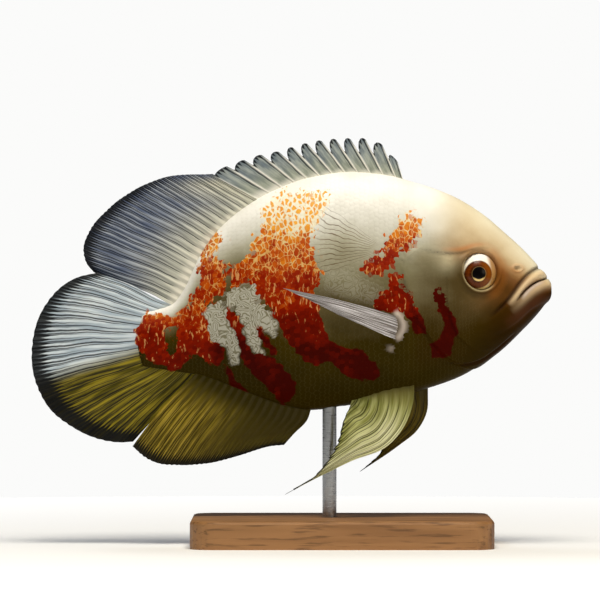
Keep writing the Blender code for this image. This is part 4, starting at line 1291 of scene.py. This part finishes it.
# %% Borders of the fins
last_foot = spine_feet(np.array(SPINES - 1.0)) + (1.0, 0, -0.4)
last_tip = spine_tips(np.array(SPINES - 1.0)) + (1.4, 0, 0.0)
SPINY_DORSAL = (
    lambda u: spine_feet(u * (SPINES - 1)),
    lobed_edge,
    lambda v: along_spine(0, v),
    lambda v: along_spine(SPINES - 1, v),
)
SOFT_DORSAL = (
    border(last_foot, (-28, 0, 163), (-38, 0, 153), (-46, 0, 141.5), (-53, 0, 127.5), (-58, 0, 118.5)),
    border(last_tip, (-63, 0.5, 184), (-78, 1.5, 178), (-93, 3, 167), (-101, 4, 157.5),
           (-104.3, 5, 147.5), (-102.7, 5.5, 141), (-99.2, 6, 136.5)),
    border(last_foot, last_tip),
    border((-58, 0, 118.5), (-70, 2.2, 125.5), (-85, 4.5, 131), (-99.2, 6, 136.5)),
)
TAIL = (
    border((-58, 0, 119.5), (-66, 0, 112), (-69, 0, 102), (-62, 0.6, 92.5), (-46.5, 1.2, 87.3)),
    border((-97.2, -1, 136.2), (-107.2, -1, 133.8), (-117, -1, 127.5), (-124, -1, 118.5),
           (-128.6, -0.5, 107), (-130, 0, 94), (-127.4, 0.5, 79.5), (-120, 1, 67), (-108.2, 1.5, 58),
           (-94, 2, 52.2), (-86, 2.2, 51.2), (-79.3, 2.4, 51.6)),
    border((-58, 0, 119.5), (-66, -0.2, 122.6), (-80, -0.7, 130), (-97.2, -1, 136.2)),
    border((-46.5, 1.2, 87.3), (-52.5, 2, 80.3), (-59.2, 2.6, 73.5), (-70.4, 2.6, 61.5), (-79.3, 2.4, 51.6)),
)
ANAL = (
    border((10, 0, 69), (-5, 0, 71), (-20, 0, 76.5), (-35, 0, 83), (-46.5, -0.6, 87.5)),
    border((-3.8, 0, 50), (-10.8, 0, 49.3), (-25.8, -0.5, 44.8), (-40.8, -1.5, 41), (-55.8, -3, 40),
           (-65, -4, 40.6), (-72.5, -5, 43.5), (-79.3, -5.6, 49.5)),
    border((10, 0, 69), (8, 0, 62.8), (1.2, 0, 55.6), (-3.8, 0, 50)),
    border((-46.5, -0.6, 87.5), (-53, -2, 80.3), (-59.8, -3, 73.5), (-70.8, -4.6, 61), (-79.3, -5.6, 49.5)),
)
PELVIC_RIGHT = (
    border((61, -9, 82.5), (46, -9.5, 79), (31, -6.5, 75)),
    border((-3.2, -19, 26), (11.8, -18.5, 35.5), (19.2, -16.5, 45), (22.8, -14.5, 52),
           (26.2, -11, 63), (29.5, -7.5, 69.5)),
    border((61, -9, 82.5), (61, -10.5, 74.5), (56.8, -13, 61), (47.8, -15.5, 50), (29.8, -17, 42.5),
           (17.2, -18, 36.5), (-3.2, -19, 26)),
    border((31, -6.5, 75), (29.5, -7.5, 69.5)),
)
PELVIC_LEFT = (
    border((68.4, 9, 83), (54, 9.5, 81), (39, 6.5, 76.5)),
    border((34.5, 21, 36), (45.5, 18.5, 47), (46, 15, 57), (41, 10, 66), (38, 7.5, 71.5)),
    border((68.4, 9, 83), (68.5, 10.5, 76), (68.2, 13, 67), (63.2, 16, 57), (54, 18.5, 49.3),
           (34.5, 21, 36)),
    border((39, 6.5, 76.5), (38, 7.5, 71.5)),
)
PECTORAL_RIGHT = (
    border((56.5, -20.5, 112.8), (55, -20.2, 107.5), (53.5, -19.7, 102.6)),
    border((-4.2, -27.5, 128.4), (6, -27, 123.8), (16, -26.5, 119), (24, -26, 115)),
    border((56.5, -20.5, 112.8), (50, -25, 115), (26.8, -27, 121.6), (-4.2, -27.5, 128.4)),
    border((53.5, -19.7, 102.6), (48, -24.3, 104.4), (36, -25.8, 109.8), (24, -26, 115)),
)


def mirrored(curves):
    """The same fin on the other flank."""
    return [lambda t, run=run: run(t) * (1.0, -1.0, 1.0) for run in curves]


print("tail root and tip are", round(TAIL[0](0.5)[0] - TAIL[1](0.5)[0], 1), "mm apart")

# %% [markdown]
# Fin skin is a clear film over horny rays, smoky at the margin. The colour of a band
# between two dark lines, of the fleshy base and of the margin are given for each fin, and
# the tones stored at each place say how much of each shows.

# %% Fin material
# Share of the space between two rays that a dark line takes, and the size of the film's clouds.
FIN_LINE, FIN_CLOUD = 0.09, 12.0 * MM


def fin_finish(name, band, second, line, base, margin, fine=0.9, rough=0.4, marked=False):
    """Thin wet fin. Stored tones: flesh of the base, the second colour and the dark margin."""
    made, tree, shader = finish_material(name)
    ray = node(tree, SPLIT, {0: node(tree, STORED, out="Vector", attribute_name="ray")}, out=None)
    tint = node(tree, SPLIT, {0: node(tree, STORED, out="Vector", attribute_name="tint")}, out=None)
    number, out = ray[:2]
    flesh, other, edge = tint
    place = node(tree, PLACE, out="Object")
    stretched = node(tree, JOIN, {0: node(tree, MATH, {0: number, 1: 3.0}, **TIMES),
                                  1: node(tree, MATH, {0: out, 1: 2.5}, **TIMES)})
    streaks = node(tree, NOISE, {"Vector": stretched, "Scale": 1.0, "Detail": 3.0})
    cloud = node(tree, NOISE, {"Vector": place, "Scale": 1 / FIN_CLOUD, "Detail": 3.0})
    shaky = node(tree, MATH, {0: cloud, 1: 0.3, 2: number}, **TIMES_PLUS)
    dark = 0.0
    # One dark line to a ray, then two and four as the rays split outwards.
    for times, start, end in ((1.0, -1.0, -0.5), (2.0, 0.1, 0.4), (4.0, 0.5, 0.85)):
        fold = node(tree, MATH, {0: shaky, 1: times, 2: 0.35}, **TIMES_PLUS)
        fold = node(tree, MATH, {0: fold, 1: 0.5}, operation="PINGPONG")
        width = FIN_LINE * (0.6 + 0.4 * times)
        drawn = node(tree, RANGE, {0: fold, 1: width, 2: width * 0.3}, **SOFT)
        shown = node(tree, RANGE, {0: out, 1: start, 2: end, 4: 1.0 if times == 1.0 else fine}, **SOFT)
        drawn = node(tree, MATH, {0: drawn, 1: shown}, **TIMES)
        dark = node(tree, MATH, {0: drawn, 1: dark}, operation="MAXIMUM")
    bright = node(tree, RANGE, {0: streaks, 1: 0.35, 2: 0.68}, **SOFT)
    film = node(tree, MIX, {0: bright, 6: band[0], 7: band[1]}, **COLOUR)
    low = node(tree, MIX, {0: bright, 6: second[0], 7: second[1]}, **COLOUR)
    film = node(tree, MIX, {0: other, 6: film, 7: low}, **COLOUR)
    bare = node(tree, RANGE, {0: flesh, 1: 0.0, 2: 0.8, 3: 0.9, 4: 0.0})
    film = node(tree, MIX, {0: node(tree, MATH, {0: dark, 1: bare}, **TIMES), 6: film, 7: line}, **COLOUR)
    film = node(tree, MIX, {0: flesh, 6: film, 7: base}, **COLOUR)
    smoke = node(tree, MATH, {0: fold, 1: -1.3, 2: edge}, **TIMES_PLUS)
    smoke = node(tree, MATH, {0: streaks, 1: 0.6, 2: smoke}, **TIMES_PLUS)
    smoke = node(tree, RANGE, {0: smoke, 1: 0.3, 2: 0.6, 4: 0.95}, **SOFT)
    film = node(tree, MIX, {0: smoke, 6: film, 7: margin}, **COLOUR)
    if marked:
        marks = node(tree, SPLIT, {0: node(tree, STORED, out="Vector", attribute_name="marks")}, out=None)
        film = red_over(tree, film, marks, place)
    ridges = node(tree, MATH, {0: dark, 1: -0.8, 2: streaks}, **TIMES_PLUS)
    ribbed = node(tree, BUMP, {"Strength": 0.35, "Distance": 0.4 * MM, "Height": ridges})
    fill(tree, shader, {"Base Color": film, "Roughness": rough, "Specular IOR Level": 0.15,
                        "Normal": ribbed})
    return made


print("fin films ready to be coloured, dark lines", FIN_LINE, "of the space between rays")

# %% [markdown]
# Now each fin in turn. The dorsal fin has thirteen hard spines in front with a lobe of
# skin behind each, and soft branching rays behind. The tail is pale blue above and olive
# below; the anal and pelvic fins are olive and yellow; the pectorals are clear as glass.

# %% Finishes of the fins
# Blue-grey film with dark lines; the second colour is the beige of its front.
blue_fin = fin_finish("blue_grey_fin_skin", ("#56627C", "#9EA6B2"), ("#B2B2A0", "#DEDCC8"),
                      "#14181F", "#D8D4C4", "#0B0D12")
# Grey-green webs between white spines, dark at the tips of the lobes.
spine_skin = fin_finish("spine_and_web", ("#707C84", "#A4ACA8"), ("#8E9586", "#B4B8A6"),
                        "#20252B", "#F1EEE4", "#12151C", fine=0.15)
# Silver-blue above, olive with yellow streaks below, streaky black margin.
tail_skin = fin_finish("tail_fin_skin", ("#A8B8C4", "#DCE6EA"), ("#423C06", "#948420"),
                       "#101214", "#B8B8A8", "#07090B", marked=True)
# Dark olive, smooth in front and streaked with yellow behind; on the left pelvic fin its dark is painted
# shade.
olive_fin = fin_finish("olive_fin_skin", ("#443A04", "#584E0C"), ("#584A06", "#A48E2E"),
                       "#1C1800", "#423802", "#0C0B05")
# Thin yellow-green film over pale rays.
yellow_fin = fin_finish("yellow_fin_skin", ("#7E803A", "#BCBD78"), ("#C4C48A", "#E6E4BC"),
                        "#3D3B12", "#6A6230", "#14140C")
# Clear glassy film: white strands with the dark flank showing between them.
clear_fin = fin_finish("clear_fin_skin", ("#6E665E", "#F0ECEE"), ("#8E868C", "#D8D2D6"),
                       "#4A423C", "#D6C8BC", "#9A9088", fine=0.3, rough=0.25)
print("fin materials:", [m.name for m in bpy.data.materials if "fin" in m.name or "web" in m.name])

# %% [markdown]
# Each fin stores three shares at every point: how fleshy its foot is, how far its second
# colour has taken over, and how dark its margin is. They are soft steps of the place along
# the root, u, and out to the edge, v.

# %% Tones of the fins
def spiny_tint(u, v, here):
    """Cream flesh at the foot, white spines and a thin dark margin."""
    spine = u * (SPINES - 1)
    near = np.abs(spine - np.rint(spine))
    flesh = np.maximum(smooth_step(v, 0.3, 0.08), bump(near, 0.07) * smooth_step(v, 1.0, 0.75))
    return flesh, 0.8 * smooth_step(v, 0.8, 0.3), 0.75 * smooth_step(v, 0.84, 1.0)


def soft_tint(u, v, here):
    """A thin pale base, beige in front, with a black margin."""
    front = smooth_step(u, 0.45, 0.0) * smooth_step(v, 1.0, 0.7)
    beige = np.maximum(front, smooth_step(v, 0.65, 0.1) * 0.85)
    black = smooth_step(v, 0.76, 1.04) * (0.5 + 0.5 * smooth_step(u, 0.1, 0.5))
    return smooth_step(v, 0.14, 0.04), beige, black


def tail_tint(u, v, here):
    """Pale above and olive below a slanting line, black at the margin."""
    line = np.interp(here[:, 0], (-130, -82, -60), (82, 97, 106))
    low = smooth_step(here[:, 2] - line, 4, -6)
    smoke = 0.95 * smooth_step(v, 0.76, 1.0) + 0.35 * low * smooth_step(v, 0.65, 1)
    return smooth_step(v, 0.16, 0.04) * (1 - low) * 0.6, low, smoke


def anal_tint(u, v, here):
    """Smooth olive in front, yellow rays behind, smoky margin."""
    plain = smooth_step(u, 0.75, 0.3) * smooth_step(v, 0.95, 0.6)
    smooth = np.maximum(smooth_step(v, 0.45, 0.12), plain)
    return smooth, smooth_step(u, 0.35, 0.8), smooth_step(v, 0.8, 1.02)


def pelvic_tint(u, v, here):
    """Yellow-green with pale rays and black tips."""
    pale = smooth_step(u, 0.7, 0.2) * smooth_step(v, 0.1, 0.4)
    return smooth_step(v, 0.2, 0.02), pale, smooth_step(v, 0.86, 1.02)


def shaded_pelvic_tint(u, v, here):
    """The fin on the far, shaded side: the same, with less of the yellow, as painted shade."""
    flesh, second, margin = pelvic_tint(u, v, here)
    return flesh, 0.35 * second, margin


def pectoral_tint(u, v, here):
    """Glassy all over, fleshy at the root."""
    return smooth_step(v, 0.1, 0.02), 0 * u, 0 * u


print("tones of seven kinds of fin")

# %% [markdown]
# One table lists the fins: the piece, its solid, its slot, borders, columns and rows of the
# grid, thickness at root and edge in millimetres, number of rays, tones and finish. A loop
# then builds them, which is easier to check than eight calls.

# %% Build the fins
FINS = (
    ("dorsal_spines", "dorsal_fin_spiny", "fin_blue_grey", SPINY_DORSAL, 240, 26, (2.1, 0.85), SPINES - 1,
     spiny_tint, spine_skin, {"sharp": 14, "phase": 0.36}),
    ("dorsal_soft_rays", "dorsal_fin_soft", "fin_blue_grey", SOFT_DORSAL, 190, 44, (3.1, 0.7), 19,
     soft_tint, blue_fin, {"wave": 0.25, "frays": 0.006}),
    ("tail_rays", "tail_fin", "fin_blue_grey", TAIL, 192, 48, (2.5, 0.7), 16,
     tail_tint, tail_skin, {"wave": 0.3, "frays": 0.006, "uneven": 0.15}),
    ("anal_rays", "anal_fin", "fin_olive", ANAL, 160, 34, (3.1, 0.7), 16,
     anal_tint, olive_fin, {"wave": 0.3, "frays": 0.008}),
    ("pelvic_rays_right", "pelvic_fin_right", "fin_yellow", PELVIC_RIGHT, 84, 36, (1.9, 0.7), 6,
     pelvic_tint, yellow_fin, {"frays": 0.06}),
    # The left pelvic fin lies on the far side, under the belly: its darker olive finish and weaker yellow
    # are painted shade.
    ("pelvic_rays_left", "pelvic_fin_left", "fin_olive", PELVIC_LEFT, 84, 30, (1.9, 0.7), 6,
     shaded_pelvic_tint, olive_fin, {"frays": 0.05}),
    ("pectoral_rays_right", "pectoral_fin_right", "fin_clear", PECTORAL_RIGHT, 90, 40, (1.5, 0.7), 9,
     pectoral_tint, clear_fin, {"frays": 0.02}),
    ("pectoral_rays_left", "pectoral_fin_left", "fin_clear", mirrored(PECTORAL_RIGHT), 90, 40, (1.5, 0.7), 9,
     pectoral_tint, clear_fin, {"frays": 0.02}),
)
for name, solid, slot_name, curves, columns, rows, thickness, rays, tint, finish, extra in FINS:
    made = build_fin(name, curves, columns, rows, thickness, rays, tint, finish, **extra)
    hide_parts(solid)

# %% [markdown]
# The stand is a plain museum one: an oiled oak base and a brushed steel rod. Both solids
# already have their true shape, so only their materials are replaced.

# %% Stand
def oiled_oak():
    """Oak with open grain along its length, rubbed with oil: satin, a little darker in the pores."""
    made, tree, shader = finish_material("oiled_oak")
    place = node(tree, PLACE, out="Object")
    grain_place = node(tree, STRETCH, {"Vector": place, "Scale": (12.0, 160.0, 160.0)})
    rings_place = node(tree, STRETCH, {"Vector": place, "Scale": (4.0, 60.0, 60.0)})
    pores = node(tree, NOISE, {"Vector": grain_place, "Scale": 4.0, "Detail": 5.0})
    rings = node(tree, NOISE, {"Vector": rings_place, "Scale": 1.5, "Detail": 2.0})
    wood = node(tree, RAMP, {0: rings}, stops=((0.3, "#8B6136"), (0.5, "#A8794A"), (0.7, "#7A5029")))
    open_pores = node(tree, RANGE, {0: pores, 1: 0.52, 2: 0.68, 4: 0.6}, **SOFT)
    colour = node(tree, MIX, {0: open_pores, 6: wood, 7: "#4E3219"}, **COLOUR)
    pitted = node(tree, BUMP, {"Strength": 0.2, "Distance": 0.3 * MM, "Height": pores})
    fill(tree, shader, {"Base Color": colour, "Roughness": 0.45, "Normal": pitted})
    return made


def brushed_steel():
    """Stainless rod drawn through a fine belt: a soft sheen with fine scratches round it."""
    made, tree, shader = finish_material("brushed_steel")
    place = node(tree, PLACE, out="Object")
    brushed = node(tree, STRETCH, {"Vector": place, "Scale": (150.0, 150.0, 2500.0)})
    scratches = node(tree, NOISE, {"Vector": brushed, "Scale": 1.0, "Detail": 3.0})
    steel = node(tree, MIX, {0: scratches, 6: "#A9ABAD", 7: "#C9CBCC"}, **COLOUR)
    sheen = node(tree, RANGE, {0: scratches, 1: 0.3, 2: 0.7, 3: 0.24, 4: 0.38})
    fill(tree, shader, {"Base Color": steel, "Metallic": 1.0, "Roughness": sheen})
    return made


for solid, finish in (("stand_base", oiled_oak()), ("stand_rod", brushed_steel())):
    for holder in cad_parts[solid].material_slots:
        holder.material = finish
    print(solid, "is finished in", finish.name)

# %% [markdown]
# The camera looks level at the right flank from well back, as the photograph does, with a
# long lens so that near and far fins keep their sizes.

# %% Camera
FRAME_WIDTH = 0.300
CAMERA_DISTANCE = 2.4
VIEW_CENTRE = (0.00425, 0.0, 0.1225)
scene = bpy.context.scene
lens = bpy.data.cameras.new("camera")
lens.sensor_width = 36.0
lens.lens = 36.0 * CAMERA_DISTANCE / FRAME_WIDTH
lens.clip_end = 20
camera = bpy.data.objects.new("camera", lens)
camera.location = (VIEW_CENTRE[0], -CAMERA_DISTANCE, VIEW_CENTRE[2])
camera.rotation_euler = (math.radians(90), 0, 0)
scene.collection.objects.link(camera)
scene.camera = camera
print("lens", round(lens.lens), "mm, from", CAMERA_DISTANCE, "m away")

# %% [markdown]
# The floor is one large disc, painted matt and pale. Its far rim would go dark where the
# lamps don't reach, so it glows faintly outwards, as a lit studio sweep does.

# %% Floor
FLOOR_RADIUS, FLOOR_GLOW = 0.6, 0.5
form = bmesh.new()
bmesh.ops.create_circle(form, cap_ends=True, segments=96, radius=FLOOR_RADIUS)
# Matt, almost white paint: it takes the soft shadow and shows no shine.
floor_paint, floor_tree, floor_shader = finish_material("pale_floor")
floor_place = node(floor_tree, PLACE, out="Object")
from_middle = node(floor_tree, VECTORS, {0: floor_place}, out="Value", operation="LENGTH")
glow = node(floor_tree, RANGE, {0: from_middle, 1: 0.1, 2: 0.58, 3: 0.05, 4: FLOOR_GLOW})
fill(floor_tree, floor_shader, {"Base Color": "#F4F4F2", "Roughness": 0.9, "Specular IOR Level": 0.1,
                                "Emission Color": "#FFFFFF", "Emission Strength": glow})
floor = piece_from(form, "floor", floor_paint)
print("floor", 2 * FLOOR_RADIUS, "m across")

# %% [markdown]
# The background is seen nearly white but lights the fish only dimly, by asking whether a
# ray comes straight from the camera. A big soft lamp above gives the bright back and the
# dark belly; two weaker ones fill the face and edge the fins.

# %% Background and lamps
world = bpy.data.worlds.new("studio")
world.use_nodes = True
sky = world.node_tree
dim = sky.nodes["Background"]
fill(sky, dim, {0: "#EAF0FF", 1: 0.07})
seen = node(sky, "ShaderNodeBackground", {0: "#FBFBFA", 1: 1.0})
seen_direct = node(sky, "ShaderNodeLightPath", out="Is Camera Ray")
both = node(sky, "ShaderNodeMixShader", {0: seen_direct, 1: dim.outputs[0], 2: seen})
fill(sky, sky.nodes["World Output"], {0: both})
scene.world = world
scene.view_settings.view_transform = "Standard"


def soft_lamp(name, place, aim, size, power, hex_colour):
    """A square soft lamp at a place, aimed at a point."""
    light = bpy.data.lights.new(name, "AREA")
    light.size = size
    light.energy = power
    light.color = linear(hex_colour)[:3]
    lamp = bpy.data.objects.new(name, light)
    lamp.location = place
    direction = Vector(aim) - Vector(place)
    lamp.rotation_euler = direction.to_track_quat("-Z", "Y").to_euler()
    scene.collection.objects.link(lamp)


soft_lamp("key_lamp", (0.08, -0.42, 1.1), (0.02, 0, 0.13), 0.5, 13, "#FFF8EA")
soft_lamp("rim_lamp", (-0.5, 0.5, 0.9), (0, 0, 0.13), 0.4, 2.5, "#E8F0FF")
soft_lamp("face_lamp", (0.7, -0.8, 0.4), (0.08, 0, 0.13), 0.3, 0.8, "#FFF1DC")
